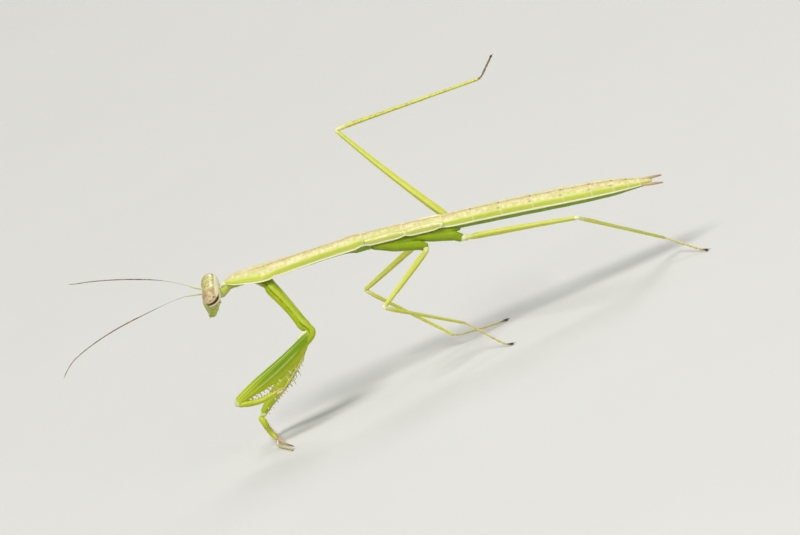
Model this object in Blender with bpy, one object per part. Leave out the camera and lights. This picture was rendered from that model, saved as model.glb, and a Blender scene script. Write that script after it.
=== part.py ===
"""A young praying mantis of the Chinese mantis kind, life size, as a still museum model.

It stands head-left along X, with +Z up. The head points to -X, the animal's left is -Y.
It rests on its two middle feet, its left hind foot and its right fore foot. The left
foreleg is folded in the air, and the right hind leg is lifted over the body.
All sizes below are millimetres and all angles are degrees, unless a name says otherwise.
"""

import math

import bmesh
import bpy
from mathutils import Vector

MM = 0.001
GAP = 0.1                       # clearance between neighbouring pieces
WORLD_UP = Vector((0, 0, 1))
SIDES = {"left": 1, "right": -1}

# The trunk: one gently arched line from the front of the prothorax to the abdomen's end.
PROTHORAX_LENGTH = 16.0
MESOTHORAX_LENGTH = 4.6
METATHORAX_LENGTH = 4.4
ABDOMEN_LENGTH = 23.6
TRUNK_LENGTH = PROTHORAX_LENGTH + MESOTHORAX_LENGTH + METATHORAX_LENGTH + ABDOMEN_LENGTH
PITCH_FRONT = 8.3               # the trunk falls towards the tail by this at its front
PITCH_BACK = 15.4               # and by this at its end
ROLL = 17.8                     # the back leans to the animal's left
FRONT_HEIGHT = 18.75            # height of the trunk line at the front of the prothorax

# Across the trunk: (fraction of the length, half width, rise above the widest level, depth
# below it, height of the widest level above the trunk line).
PROTHORAX = ((0.0, 0.55, 0.32, 0.90, -0.05), (0.03, 0.80, 0.48, 0.86, -0.08),
             (0.12, 1.20, 0.82, 0.66, -0.25), (0.27, 1.62, 1.02, 0.62, -0.48),
             (0.40, 1.30, 1.08, 0.62, -0.46), (0.58, 1.08, 1.14, 0.62, -0.34),
             (0.85, 1.02, 1.12, 0.68, -0.08), (0.96, 1.08, 1.12, 0.98, 0.08),
             (1.0, 0.98, 1.02, 1.00, 0.1))
MESOTHORAX = ((0.0, 0.78, 0.96, 0.96, 0.12), (0.1, 0.82, 1.06, 1.06, 0.10),
              (0.3, 0.82, 1.10, 0.96, 0.06), (0.5, 0.82, 1.12, 0.66, 0.04), (0.9, 0.82, 1.12, 0.66, 0.0),
              (1.0, 0.76, 1.04, 0.60, 0.0))
METATHORAX = ((0.0, 0.76, 1.04, 0.60, 0.0), (0.1, 0.82, 1.12, 0.66, 0.0),
              (0.5, 0.84, 1.08, 0.66, 0.0), (0.9, 0.86, 1.02, 0.64, 0.0),
              (1.0, 0.80, 0.92, 0.58, 0.0))
ABDOMEN = ((0.0, 0.94, 0.84, 0.70, 0.0), (0.04, 1.08, 0.96, 0.84, 0.0),
           (0.3, 1.20, 1.00, 0.98, 0.0), (0.6, 1.30, 0.98, 1.00, 0.0),
           (0.8, 1.14, 0.90, 0.84, 0.0), (0.93, 0.72, 0.56, 0.46, 0.0),
           (0.985, 0.42, 0.34, 0.28, 0.0), (1.0, 0.22, 0.2, 0.16, 0.0))
ABDOMEN_SEGMENTS = 8
SEGMENT_STEP = 0.03             # each ring of the abdomen stands this far over the next
TRUNK_SIDES = 16

# Wing pads: short curved flaps along the flanks of the two rear thorax rings.
PAD_CLEARANCE = 0.1
PAD_THICKNESS = 0.45
PAD_BACK_STRETCH = 0.06         # the flaps stand a little further off above than at the side
PAD_NARROWING = 0.6             # share of their height lost by the tip
PAD_THINNING = 0.35             # and of their thickness
PAD_STEPS = 6
PAD_ARC_POINTS = 5
PAD_TOP_ANGLE = 40              # from the side of the body, upwards
PAD_LOW_ANGLE = 4
WING_PADS = {"fore": (16.5, 4.5), "hind": (21.1, 3.9)}    # start along the trunk, length

# Head: hangs at right angles to the trunk. Places are (forward, to the side, down).
HEAD_AHEAD = 1.55               # from the prothorax's front to the middle of the eyes
HEAD_DROP = 0.45
HEAD_TURN = 4                   # the head looks this far to the animal's right
# (down from the eyes' line, half width, half depth, how far forward the middle sits)
HEAD_RINGS = ((-0.96, 0.55, 0.24, -0.10), (-0.80, 1.02, 0.46, -0.08), (-0.40, 1.20, 0.66, -0.02),
              (0.0, 1.20, 0.76, 0.05), (0.7, 1.14, 0.80, 0.06), (1.25, 1.00, 0.74, 0.12),
              (1.9, 0.80, 0.58, 0.28))
MOUTH_RINGS = ((2.0, 0.74, 0.54, 0.30), (2.5, 0.64, 0.52, 0.36), (3.0, 0.50, 0.46, 0.40),
               (3.4, 0.34, 0.32, 0.42), (3.6, 0.18, 0.18, 0.42))
EYE_INNER = 1.32                # the eye meets the head this far from the middle
EYE_OUTER = 2.80
EYE_HALF_HEIGHT = 1.25
EYE_HALF_DEPTH = 1.05
EYE_BULGE = 0.42                # fraction of the way out where the eye is largest
EYE_RINGS = 7
EYE_POLE = 0.985                # the last ring stops just short of the pole
EYE_ROOT_SCALE = 0.88           # size where the eye meets the head
EYE_OFFSET = (0.03, -0.02)       # forward and up from the head's middle
HEAD_SIDES = 14
NECK = ((0.0, 0.72, 0.54), (0.5, 0.66, 0.56), (1.0, 0.62, 0.56))
NECK_START = (-0.74, 0.2)       # behind and below the head's middle
NECK_END_DROP = 0.34            # below the trunk line
NECK_STEPS = 4
NECK_SIDES = 10

# Antennae: (fraction of the length, azimuth, elevation) of the direction they take.
ANTENNA_LENGTH = 18.6
ANTENNA_ROOT = (0.98, 0.55, 0.02)       # forward, to the side, down from the head's middle
ANTENNA_RADIUS = 0.26
ANTENNA_STEPS = 22
ANTENNA_ROUTES = {
    "left": ((0.0, 184, 32), (0.15, 190, 6), (0.45, 190, 0), (0.7, 192, -8), (0.88, 196, -20),
             (1.0, 215, -60)),
    "right": ((0.0, 135, 24), (0.2, 137, 20), (0.4, 141, 14), (0.75, 144, 9), (1.0, 146, 4)),
}

# Legs: half thicknesses are (fraction of the length, along the leg's plane, across it).
COXA_FORE = ((0.0, 0.46, 0.38), (0.08, 0.62, 0.50), (0.4, 0.70, 0.54), (0.8, 0.58, 0.46),
             (1.0, 0.42, 0.36))
# The fore femur hangs below the line between its joints by the last column.
FEMUR_FORE = ((0.0, 0.46, 0.34, 0.1), (0.05, 0.66, 0.42, 0.22), (0.12, 0.78, 0.44, 0.36),
              (0.22, 0.88, 0.48, 0.46), (0.40, 0.97, 0.54, 0.53), (0.60, 0.97, 0.52, 0.41),
              (0.72, 0.86, 0.48, 0.23), (0.85, 0.66, 0.42, 0.04), (0.94, 0.54, 0.38, -0.04),
              (0.985, 0.44, 0.32, -0.06), (1.0, 0.30, 0.24, -0.06))
TIBIA_FORE = ((0.0, 0.27, 0.26), (0.1, 0.34, 0.29), (0.5, 0.31, 0.28), (0.78, 0.28, 0.26),
              (0.9, 0.2, 0.18), (1.0, 0.05, 0.05))
COXA_WALKING = ((0.0, 0.44, 0.40), (0.12, 0.54, 0.50), (0.5, 0.54, 0.50), (0.85, 0.46, 0.42),
                (1.0, 0.34, 0.32))
FEMUR_MID = ((0.0, 0.27, 0.27), (0.07, 0.34, 0.33), (0.2, 0.39, 0.34), (0.5, 0.36, 0.32),
             (0.9, 0.29, 0.28), (1.0, 0.25, 0.25))
TIBIA_MID = ((0.0, 0.25, 0.25), (0.05, 0.30, 0.28), (0.3, 0.27, 0.26), (1.0, 0.25, 0.25))
FEMUR_HIND = ((0.0, 0.27, 0.27), (0.05, 0.38, 0.36), (0.15, 0.48, 0.39), (0.4, 0.42, 0.36),
              (0.9, 0.29, 0.27), (1.0, 0.25, 0.25))
TIBIA_HIND = ((0.0, 0.25, 0.25), (0.04, 0.30, 0.28), (0.3, 0.27, 0.26), (1.0, 0.25, 0.25))
FORE_COXA_BOW = -0.2            # the middle of the fore coxa bends away from the femur
HIND_FEMUR_BOW = 0.4
TARSUS_RADIUS = 0.25
TARSUS_STEPS = 9
TARSUS_BEAD = 0.08              # the foot's joints swell by this share of its width
LYING_DROP_RUN = 0.9            # run in which the foot laid on the floor comes down to it
CERCUS = ((0.0, 0.15, 0.15), (0.4, 0.16, 0.15), (1.0, 0.06, 0.06))
CERCUS_LENGTH = 1.7
CERCUS_ROOT = (0.9, 0.62, -0.02)         # before the trunk's end, to the side, down
CERCUS_SPLAY = 0.10
CERCUS_STEPS = 4
THREAD_SIDES = 6
LIMB_SIDES = 8
FORE_SIDES = 10

# Hips, from the trunk line: (along the trunk, to the side, down), and the coxae's slopes.
FORE_HIP = (4.3, 0.62, 1.15)
MID_HIP = (18.2, 0.66, 1.10)
HIND_HIP = (22.6, 0.66, 1.02)
MID_COXA_TIP = (22.9, 1.30, 1.80)
HIND_COXA_TIP = (26.9, 1.22, 1.72)

FORE_LENGTHS = {"coxa": 7.95, "femur": 11.45, "tibia": 6.1, "tarsus": 4.6}
MID_LENGTHS = {"femur": 11.4, "tibia": 11.2, "tarsus": 6.2}
HIND_LENGTHS = {"femur": 17.8, "tibia": 17.4, "tarsus": 6.6}
TIBIA_CLAW_START = 0.78         # where the fore tibia's claw begins, as a fraction
# The fore tibia hinges past the femur's end and below it; shut, it sits lower.
TIBIA_HINGE = {"left": (-0.1, 0.66), "right": (0.34, 0.1)}
# Room left free at the two ends of each piece of a leg: (near the body, far from it).
FORE_COXA_ROOM = (0.5, 0.55)
FORE_FEMUR_ROOM = (0.1, 0.22)
COXA_ROOM = (0.35, 0.45)
FEMUR_ROOM = (0.42, 0.3)
TIBIA_ROOM = (0.12, 0.05)
FOOT_ROOM = 0.12                # from the shin's end to the foot, besides the gap
SHIN_END_HALF = 0.28            # half thickness of the fore shin where the foot passes it

# Directions as (azimuth, elevation); azimuth 0 is towards the tail, 90 to the animal's right.
FORE_POSE = {
    "left": {"coxa": (-58.5, -54.5), "femur": (178.7, -19.9), "tibia": (-4, -1), "tarsus": (-11, 33)},
    "right": {"coxa": (-51.6, -64.4), "femur": (164.7, -37.2), "tibia": (-76, -26.4), "tarsus": (-69, 0)},
}
MID_POSE = {
    "left": {"femur": (-127.5, -10), "tibia": (40, -36.5), "tarsus": (-32, 0)},
    "right": {"femur": (148.5, -20.5), "tibia": (-26, -46), "tarsus": (15, 0)},
}
HIND_POSE = {
    "left": {"femur": (-43.5, -1.5), "tibia": (61.5, -32), "tarsus": (-52, 0)},
    "right": {"femur": (145, 55.5), "tibia": (-13, -2.5), "tarsus": (-66, 27)},
}
CLAW_BEND = {"left": 20, "right": 34}
TOE_LENGTH = 1.0                # the last stretch of a standing foot lies flat

# Spines under the fore femur and tibia: low pyramids raised from the lower faces.
FEMUR_SPINE_ZONE = {"left": (0.25, 0.6), "right": (0.3, 0.92)}
FEMUR_SPINES = {"left": 5, "right": 7}
FEMUR_SPINE_LENGTH = {"left": 0.3, "right": 0.55}
TIBIA_SPINE_ZONE = (0.15, 0.72)
TIBIA_SPINES = 4
TIBIA_SPINE_LENGTH = {"left": 0.06, "right": 0.3}
SPINE_LEAN = 0.25

COLOURS = {
    "shell_green": ((0.56, 0.64, 0.24, 1), 0.42),
    "under_green": ((0.30, 0.52, 0.08, 1), 0.40),
    "leg_green": ((0.46, 0.58, 0.16, 1), 0.40),
    "foot_brown": ((0.36, 0.25, 0.13, 1), 0.45),
    "eye_pale": ((0.78, 0.72, 0.50, 1), 0.18),
    "feeler_tan": ((0.50, 0.47, 0.34, 1), 0.50),
    "wing_pad": ((0.62, 0.66, 0.36, 1), 0.42),
}


# ---------------------------------------------------------------- geometry

def direction(azimuth, elevation):
    a, e = math.radians(azimuth), math.radians(elevation)
    return Vector((math.cos(a) * math.cos(e), math.sin(a) * math.cos(e), math.sin(e)))


def trunk_frame(s):
    """Point, rearward tangent, leftward side and back-ward normal at s mm along the trunk."""
    front = math.radians(PITCH_FRONT)
    rate = math.radians(PITCH_BACK - PITCH_FRONT) / TRUNK_LENGTH
    pitch = front + rate * s
    x = (math.sin(pitch) - math.sin(front)) / rate
    z = FRONT_HEIGHT + (math.cos(pitch) - math.cos(front)) / rate
    tangent = Vector((math.cos(pitch), 0, -math.sin(pitch)))
    upright = Vector((math.sin(pitch), 0, math.cos(pitch)))
    level = Vector((0, -1, 0))
    roll = math.radians(ROLL)
    side = level * math.cos(roll) - upright * math.sin(roll)
    back = upright * math.cos(roll) + level * math.sin(roll)
    return Vector((x, 0, z)), tangent, side, back


def trunk_point(s, sideways, down):
    point, _, side, back = trunk_frame(s)
    return point + side * sideways - back * down


def blend(stations, t):
    """Smoothly interpolated values of a table of stations, whose first column is t."""
    last = len(stations) - 1
    for i in range(last):
        if t <= stations[i + 1][0] or i == last - 1:
            break
    a, b = stations[i], stations[i + 1]
    before = stations[max(i - 1, 0)]
    after = stations[min(i + 2, last)]
    width = b[0] - a[0]
    u = min(max((t - a[0]) / width, 0), 1)
    values = []
    for k in range(1, len(a)):
        slope_a = (b[k] - before[k]) / (b[0] - before[0]) * width
        slope_b = (after[k] - a[k]) / (after[0] - a[0]) * width
        values.append((2 * u**3 - 3 * u**2 + 1) * a[k] + (u**3 - 2 * u**2 + u) * slope_a
                      + (3 * u**2 - 2 * u**3) * b[k] + (u**3 - u**2) * slope_b)
    return values


def oval(centre, side, up, half_side, rise, drop, count):
    """Ring of points, with a flat facet below, seen from the end the loft starts at."""
    points = []
    for i in range(count):
        angle = 2 * math.pi * (i + 0.5) / count - math.pi / 2
        y = math.sin(angle) * (rise if math.sin(angle) > 0 else drop)
        points.append(centre + side * (half_side * math.cos(angle)) + up * y)
    return points


def loft(bm, rings):
    """Closed tube through the rings, with flat ends; returns its side faces by ring gap."""
    rows = [[bm.verts.new(p * MM) for p in ring] for ring in rings]
    count = len(rows[0])
    bands = []
    for low, high in zip(rows, rows[1:]):
        bands.append([bm.faces.new((low[i], low[(i + 1) % count], high[(i + 1) % count], high[i]))
                      for i in range(count)])
    bm.faces.new(rows[0])
    bm.faces.new(list(reversed(rows[-1])))
    return bands


def finish_object(name, bm, colour, parent):
    bmesh.ops.recalc_face_normals(bm, faces=bm.faces)
    mesh = bpy.data.meshes.new(name)
    bm.to_mesh(mesh)
    bm.free()
    mesh.shade_smooth()
    mesh.set_sharp_from_angle(angle=math.radians(50))
    mesh.materials.append(material(colour))
    piece = bpy.data.objects.new(name, mesh)
    piece.parent = parent
    bpy.context.scene.collection.objects.link(piece)
    return piece


def material(name):
    found = bpy.data.materials.get(name)
    if found:
        return found
    made = bpy.data.materials.new(name)
    made.use_nodes = True
    shader = made.node_tree.nodes["Principled BSDF"]
    colour, roughness = COLOURS[name]
    shader.inputs["Base Color"].default_value = colour
    shader.inputs["Roughness"].default_value = roughness
    shader.inputs["Metallic"].default_value = 0
    return made


def path_tangents(path):
    tangents = []
    for i in range(len(path)):
        ahead = path[min(i + 1, len(path) - 1)] - path[i]
        behind = path[i] - path[max(i - 1, 0)]
        tangents.append((ahead.normalized() + behind.normalized()).normalized())
    return tangents


def tube_rings(path, sizes, up, count):
    """Rings along a path; sizes holds (half height, half width, sag) at each point of it."""
    rings = []
    for point, tangent, (height, width, *sag) in zip(path, path_tangents(path), sizes):
        side = up.cross(tangent).normalized()
        above = tangent.cross(side)
        middle = point - above * sag[0] if sag else point
        rings.append(oval(middle, side, above, width, height, height, count))
    return rings


# ---------------------------------------------------------------- trunk

def trunk_piece(name, start, length, stations, colour, parent, steps, lift=None):
    """Piece of the trunk between two stations, short of each end by half the gap."""
    bm = bmesh.new()
    rings = []
    for i in range(steps + 1):
        t = i / steps
        s = start + GAP / 2 + (length - GAP) * t
        width, rise, drop, shift = blend(stations, t)
        extra = lift(t) if lift else 0
        point, _, side, back = trunk_frame(s)
        rings.append(oval(point + back * shift, side, back, width + extra, rise + extra,
                          drop + extra, TRUNK_SIDES))
    loft(bm, rings)
    return finish_object(name, bm, colour, parent)


def abdomen_lift(t):
    """Small saw-tooth: each segment swells to its rear edge and steps down to the next."""
    return SEGMENT_STEP * (t * ABDOMEN_SEGMENTS % 1.0)


def make_trunk(parent):
    start = 0.0
    for name, length, stations, steps in (
            ("prothorax", PROTHORAX_LENGTH, PROTHORAX, 18),
            ("mesothorax", MESOTHORAX_LENGTH, MESOTHORAX, 6),
            ("metathorax", METATHORAX_LENGTH, METATHORAX, 6)):
        trunk_piece(name, start, length, stations, "shell_green", parent, steps)
        start += length
    trunk_piece("abdomen", start, ABDOMEN_LENGTH, ABDOMEN, "shell_green", parent,
                ABDOMEN_SEGMENTS * 3, abdomen_lift)


def make_wing_pads(parent):
    """Curved flaps just outside the thorax, narrower and thinner towards their tips."""
    for pad, (start, length) in WING_PADS.items():
        for side_name, hand in SIDES.items():
            bm = bmesh.new()
            rings = []
            for i in range(PAD_STEPS + 1):
                t = i / PAD_STEPS
                s = start + length * t
                point, _, side, back = trunk_frame(s)
                core = thorax_half_width(s) + PAD_CLEARANCE
                spread = 1 - PAD_NARROWING * t ** 3
                low = math.radians(PAD_LOW_ANGLE * spread)
                top = math.radians(PAD_LOW_ANGLE + (PAD_TOP_ANGLE - PAD_LOW_ANGLE) * spread)
                thick = PAD_THICKNESS * (1 - PAD_THINNING * t ** 4)
                angles = [low + (top - low) * k / (PAD_ARC_POINTS - 1) for k in range(PAD_ARC_POINTS)]
                outer = [(core + thick, a) for a in angles]
                inner = [(core, a) for a in reversed(angles)]
                rings.append([point + side * (hand * radius * math.cos(a))
                              + back * ((radius + PAD_BACK_STRETCH) * math.sin(a))
                              for radius, a in outer + inner])
            loft(bm, rings)
            finish_object(f"wing_pad_{pad}_{side_name}", bm, "wing_pad", parent)


def thorax_half_width(s):
    """Largest half size of the thorax core near s, so that the flaps clear it."""
    widest = 0.0
    start = PROTHORAX_LENGTH
    for length, stations in ((MESOTHORAX_LENGTH, MESOTHORAX), (METATHORAX_LENGTH, METATHORAX)):
        t = (s - start) / length
        if -0.3 <= t <= 1.3:
            widest = max(widest, blend(stations, min(max(t, 0.1), 0.9))[0])
        start += length
    return widest


def make_cerci(parent):
    for side_name, hand in SIDES.items():
        before_end, sideways, down = CERCUS_ROOT
        root = trunk_point(TRUNK_LENGTH - before_end, hand * sideways, down)
        _, tangent, side, back = trunk_frame(TRUNK_LENGTH)
        heading = (tangent + side * (hand * CERCUS_SPLAY)).normalized()
        path = [root + heading * (CERCUS_LENGTH * k / CERCUS_STEPS) for k in range(CERCUS_STEPS + 1)]
        sizes = [blend(CERCUS, k / CERCUS_STEPS) for k in range(CERCUS_STEPS + 1)]
        bm = bmesh.new()
        loft(bm, tube_rings(path, sizes, back, THREAD_SIDES))
        finish_object(f"cercus_{side_name}", bm, "foot_brown", parent)


# ---------------------------------------------------------------- head

def head_frame():
    """Middle of the eyes' line, with the forward, left and down directions of the head."""
    point, tangent, side, back = trunk_frame(0)
    turn = math.radians(HEAD_TURN)
    ahead = -tangent * math.cos(turn) - side * math.sin(turn)
    left = side * math.cos(turn) - tangent * math.sin(turn)
    return point - tangent * HEAD_AHEAD - back * HEAD_DROP, ahead, left, -back


def head_place(forward, sideways, down):
    middle, ahead, side, below = head_frame()
    return middle + ahead * forward + side * sideways + below * down


def make_head(parent):
    middle, ahead, side, below = head_frame()
    for name, stations in (("head", HEAD_RINGS), ("mouthparts", MOUTH_RINGS)):
        bm = bmesh.new()
        rings = [oval(middle + below * down + ahead * shift, side, ahead, width, depth, depth,
                      HEAD_SIDES)
                 for down, width, depth, shift in stations]
        loft(bm, rings)
        finish_object(name, bm, "shell_green", parent)
    for side_name, hand in SIDES.items():
        make_eye(side_name, hand, parent)
        make_antenna(side_name, hand, parent)
    make_neck(parent)


def make_eye(side_name, hand, parent):
    """Tall oval eye: full near the head, rounding off to its outer pole."""
    middle, ahead, side, below = head_frame()
    bm = bmesh.new()
    rings = []
    for i in range(EYE_RINGS):
        t = i / (EYE_RINGS - 1) * EYE_POLE
        out = EYE_INNER + (EYE_OUTER - EYE_INNER) * t
        if t < EYE_BULGE:
            scale = EYE_ROOT_SCALE + (1 - EYE_ROOT_SCALE) * math.sin(math.pi / 2 * t / EYE_BULGE)
        else:
            scale = math.sqrt(1 - ((t - EYE_BULGE) / (1 - EYE_BULGE)) ** 2)
        centre = middle + side * (hand * out) + ahead * EYE_OFFSET[0] - below * EYE_OFFSET[1]
        height = EYE_HALF_HEIGHT * scale
        rings.append(oval(centre, ahead, below, EYE_HALF_DEPTH * scale, height, height, HEAD_SIDES))
    loft(bm, rings)
    finish_object(f"eye_{side_name}", bm, "eye_pale", parent)


def make_neck(parent):
    """Short soft stalk from the back of the head into the front of the prothorax."""
    _, _, side, back = trunk_frame(0)
    start = head_place(NECK_START[0] - GAP, 0, NECK_START[1])
    end = trunk_point(-GAP / 2, 0, NECK_END_DROP)
    bm = bmesh.new()
    rings = []
    for i in range(NECK_STEPS + 1):
        t = i / NECK_STEPS
        height, width = blend(NECK, t)
        rings.append(oval(start.lerp(end, t), side, back, width, height, height, NECK_SIDES))
    loft(bm, rings)
    finish_object("neck", bm, "under_green", parent)


def make_antenna(side_name, hand, parent):
    forward, sideways, down = ANTENNA_ROOT
    point = head_place(forward, hand * sideways, down)
    path = [point]
    step = ANTENNA_LENGTH / ANTENNA_STEPS
    for i in range(ANTENNA_STEPS):
        azimuth, elevation = blend(ANTENNA_ROUTES[side_name], (i + 0.5) / ANTENNA_STEPS)
        point = point + direction(azimuth, elevation) * step
        path.append(point)
    sizes = [(ANTENNA_RADIUS, ANTENNA_RADIUS)] * len(path)
    bm = bmesh.new()
    loft(bm, tube_rings(path, sizes, WORLD_UP, THREAD_SIDES))
    finish_object(f"antenna_{side_name}", bm, "feeler_tan", parent)


# ---------------------------------------------------------------- legs

def segment_rings(start, end, stations, up, steps, count, bow=0.0):
    path = []
    for i in range(steps + 1):
        t = i / steps
        path.append(start.lerp(end, t) + up * (bow * 4 * t * (1 - t)))
    sizes = [blend(stations, i / steps) for i in range(steps + 1)]
    return tube_rings(path, sizes, up, count)


def shortened(start, end, room):
    """The stretch between two joints, less the room left free at each."""
    along = (end - start).normalized()
    return start + along * room[0], end - along * room[1]


def leg_segment(name, start, end, stations, up, parent, room, colour="leg_green", steps=8,
                count=LIMB_SIDES, bow=0.0):
    bm = bmesh.new()
    low, high = shortened(start, end, room)
    loft(bm, segment_rings(low, high, stations, up, steps, count, bow))
    return finish_object(name, bm, colour, parent)


def raise_spines(bm, bands, zone, number, length, across):
    """Pyramids on the two rows of faces beside the lower edge, leaning outwards."""
    steps = len(bands)
    for k in range(number):
        t = zone[0] + (zone[1] - zone[0]) * k / (number - 1)
        band = bands[min(int(t * steps), steps - 1)]
        for face, lean in ((band[0], 1), (band[-2], -1)):
            normal = face.normal.copy()
            poked = bmesh.ops.poke(bm, faces=[face])
            tip = poked["verts"][0]
            tip.co += (normal + across * (SPINE_LEAN * lean)).normalized() * (length * MM)


def spiny_segment(name, start, end, stations, below, parent, steps, spines, room):
    """Foreleg piece whose lower side carries two rows of spines."""
    bm = bmesh.new()
    low, high = shortened(start, end, room)
    bands = loft(bm, segment_rings(low, high, stations, -below, steps, FORE_SIDES))
    bm.normal_update()
    zone, number, length = spines
    across = (-below).cross(high - low).normalized()
    raise_spines(bm, bands, zone, number, length, across)
    return finish_object(name, bm, "leg_green", parent)


def standing_tarsus(start, azimuth, length, toe_height):
    """Path of a foot that slopes down to the floor and ends in a level toe."""
    slope_length = length - TOE_LENGTH
    fall = min((start.z - toe_height) / slope_length, 1)
    level = direction(azimuth, 0)
    bend = start + level * (slope_length * math.sqrt(1 - fall * fall))
    bend.z = toe_height
    slope_steps = TARSUS_STEPS - 3
    path = [start.lerp(bend, i / slope_steps) for i in range(slope_steps)]
    path += [bend + level * (TOE_LENGTH * share) for share in (0.06, 0.5, 1.0)]
    return path


def lying_tarsus(start, azimuth, length, toe_height):
    """Path of a foot laid along the floor right from its joint."""
    level = direction(azimuth, 0)
    path = [start, start + level * (LYING_DROP_RUN / 2)]
    path[1].z = (start.z + toe_height) / 2
    steps = TARSUS_STEPS - 3
    for i in range(steps + 1):
        point = start + level * (LYING_DROP_RUN + (length - LYING_DROP_RUN) * i / steps)
        point.z = toe_height
        path.append(point)
    return path


def tarsus_piece(name, path, parent, count=LIMB_SIDES):
    """Foot of beaded joints: the tube swells and narrows a little along its length."""
    last = len(path) - 1
    bm = bmesh.new()
    sizes = [(TARSUS_RADIUS, TARSUS_RADIUS * (1.0 + TARSUS_BEAD * (i % 2))) for i in range(last)]
    sizes.append((TARSUS_RADIUS, TARSUS_RADIUS))
    loft(bm, tube_rings(path, sizes, WORLD_UP, count))
    return finish_object(name, bm, "foot_brown", parent)


def level_toe_height():
    """Height of the toe's middle that sets its flat lower facet on the floor."""
    return TARSUS_RADIUS * math.cos(math.pi / LIMB_SIDES)


def make_foreleg(side_name, hand, parent):
    pose = FORE_POSE[side_name]
    lengths = FORE_LENGTHS
    hip = trunk_point(FORE_HIP[0], hand * FORE_HIP[1], FORE_HIP[2])
    elbow = hip + direction(*pose["coxa"]) * lengths["coxa"]
    femur_way = direction(*pose["femur"])
    knee = elbow + femur_way * lengths["femur"]
    tibia_way = direction(*pose["tibia"])
    below = (tibia_way - femur_way * tibia_way.dot(femur_way)).normalized()

    leg_segment(f"fore_coxa_{side_name}", hip, elbow, COXA_FORE, femur_way, parent,
                FORE_COXA_ROOM, count=FORE_SIDES, bow=FORE_COXA_BOW)
    spines = (FEMUR_SPINE_ZONE[side_name], FEMUR_SPINES[side_name], FEMUR_SPINE_LENGTH[side_name])
    spiny_segment(f"fore_femur_{side_name}", elbow, knee, FEMUR_FORE, below, parent, 22, spines,
                  FORE_FEMUR_ROOM)

    beyond, lower = TIBIA_HINGE[side_name]
    hinge = knee + femur_way * beyond + below * lower
    ankle = hinge + tibia_way * (lengths["tibia"] * TIBIA_CLAW_START)
    inward = -(femur_way - tibia_way * femur_way.dot(tibia_way)).normalized()
    outward = femur_way.cross(below) * hand
    bend = math.radians(CLAW_BEND[side_name])
    claw_way = tibia_way * math.cos(bend) + inward * math.sin(bend)
    make_fore_tibia(side_name, hinge, ankle, claw_way, inward, parent)

    beside = outward if side_name == "left" else -inward
    foot_start = ankle + tibia_way * FOOT_ROOM + beside * (SHIN_END_HALF + TARSUS_RADIUS + GAP)
    if side_name == "left":
        path = [foot_start + direction(*pose["tarsus"]) * (lengths["tarsus"] * i / TARSUS_STEPS)
                for i in range(TARSUS_STEPS + 1)]
    else:
        path = lying_tarsus(foot_start, pose["tarsus"][0], lengths["tarsus"], level_toe_height())
    tarsus_piece(f"fore_tarsus_{side_name}", path, parent)


def make_fore_tibia(side_name, hinge, ankle, claw_way, inward, parent):
    """Shin with its spines on the inner side and the strong claw at its end."""
    claw_length = FORE_LENGTHS["tibia"] * (1 - TIBIA_CLAW_START)
    shin_steps = 9
    claw_steps = 3
    path = [hinge.lerp(ankle, i / shin_steps) for i in range(shin_steps + 1)]
    path += [ankle + claw_way * (claw_length * k / claw_steps) for k in range(1, claw_steps + 1)]
    sizes = []
    for i in range(shin_steps + 1):
        sizes.append(blend(TIBIA_FORE, TIBIA_CLAW_START * i / shin_steps))
    for k in range(1, claw_steps + 1):
        sizes.append(blend(TIBIA_FORE, TIBIA_CLAW_START + (1 - TIBIA_CLAW_START) * k / claw_steps))
    bm = bmesh.new()
    bands = loft(bm, tube_rings(path, sizes, -inward, FORE_SIDES))
    bm.normal_update()
    across = (-inward).cross(ankle - hinge).normalized()
    raise_spines(bm, bands, TIBIA_SPINE_ZONE, TIBIA_SPINES, TIBIA_SPINE_LENGTH[side_name], across)
    finish_object(f"fore_tibia_{side_name}", bm, "leg_green", parent)


def make_walking_leg(pair, side_name, hand, parent):
    lengths, poses, hip_place, tip_place, femur, tibia, bow = {
        "mid": (MID_LENGTHS, MID_POSE, MID_HIP, MID_COXA_TIP, FEMUR_MID, TIBIA_MID, 0),
        "hind": (HIND_LENGTHS, HIND_POSE, HIND_HIP, HIND_COXA_TIP, FEMUR_HIND, TIBIA_HIND,
                 HIND_FEMUR_BOW),
    }[pair]
    pose = poses[side_name]
    hip = trunk_point(hip_place[0], hand * hip_place[1], hip_place[2])
    trochanter = trunk_point(tip_place[0], hand * tip_place[1], tip_place[2])
    femur_way = direction(*pose["femur"])
    tibia_way = direction(*pose["tibia"])
    knee = trochanter + femur_way * lengths["femur"]
    ankle = knee + tibia_way * lengths["tibia"]
    bend_up = (femur_way - tibia_way).normalized()

    leg_segment(f"{pair}_coxa_{side_name}", hip, trochanter, COXA_WALKING, bend_up, parent,
                COXA_ROOM, colour="under_green", steps=6)
    leg_segment(f"{pair}_femur_{side_name}", trochanter, knee, femur, bend_up, parent,
                FEMUR_ROOM, steps=10, bow=bow)
    leg_segment(f"{pair}_tibia_{side_name}", knee, ankle, tibia, bend_up, parent, TIBIA_ROOM)

    foot_start = ankle + tibia_way * (GAP + FOOT_ROOM)
    if pair == "hind" and side_name == "right":
        path = [foot_start + direction(*pose["tarsus"]) * (lengths["tarsus"] * i / TARSUS_STEPS)
                for i in range(TARSUS_STEPS + 1)]
    else:
        path = standing_tarsus(foot_start, pose["tarsus"][0], lengths["tarsus"],
                               level_toe_height())
    tarsus_piece(f"{pair}_tarsus_{side_name}", path, parent)


def centre_on_floor(root):
    """Move the whole animal so that the origin is under the middle of its bounding box."""
    bpy.context.view_layer.update()
    corners = [piece.matrix_world @ vertex.co
               for piece in root.children for vertex in piece.data.vertices]
    middle = [(min(c[k] for c in corners) + max(c[k] for c in corners)) / 2 for k in (0, 1)]
    lowest = min(c[2] for c in corners)
    root.location = (-middle[0], -middle[1], -lowest)


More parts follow.
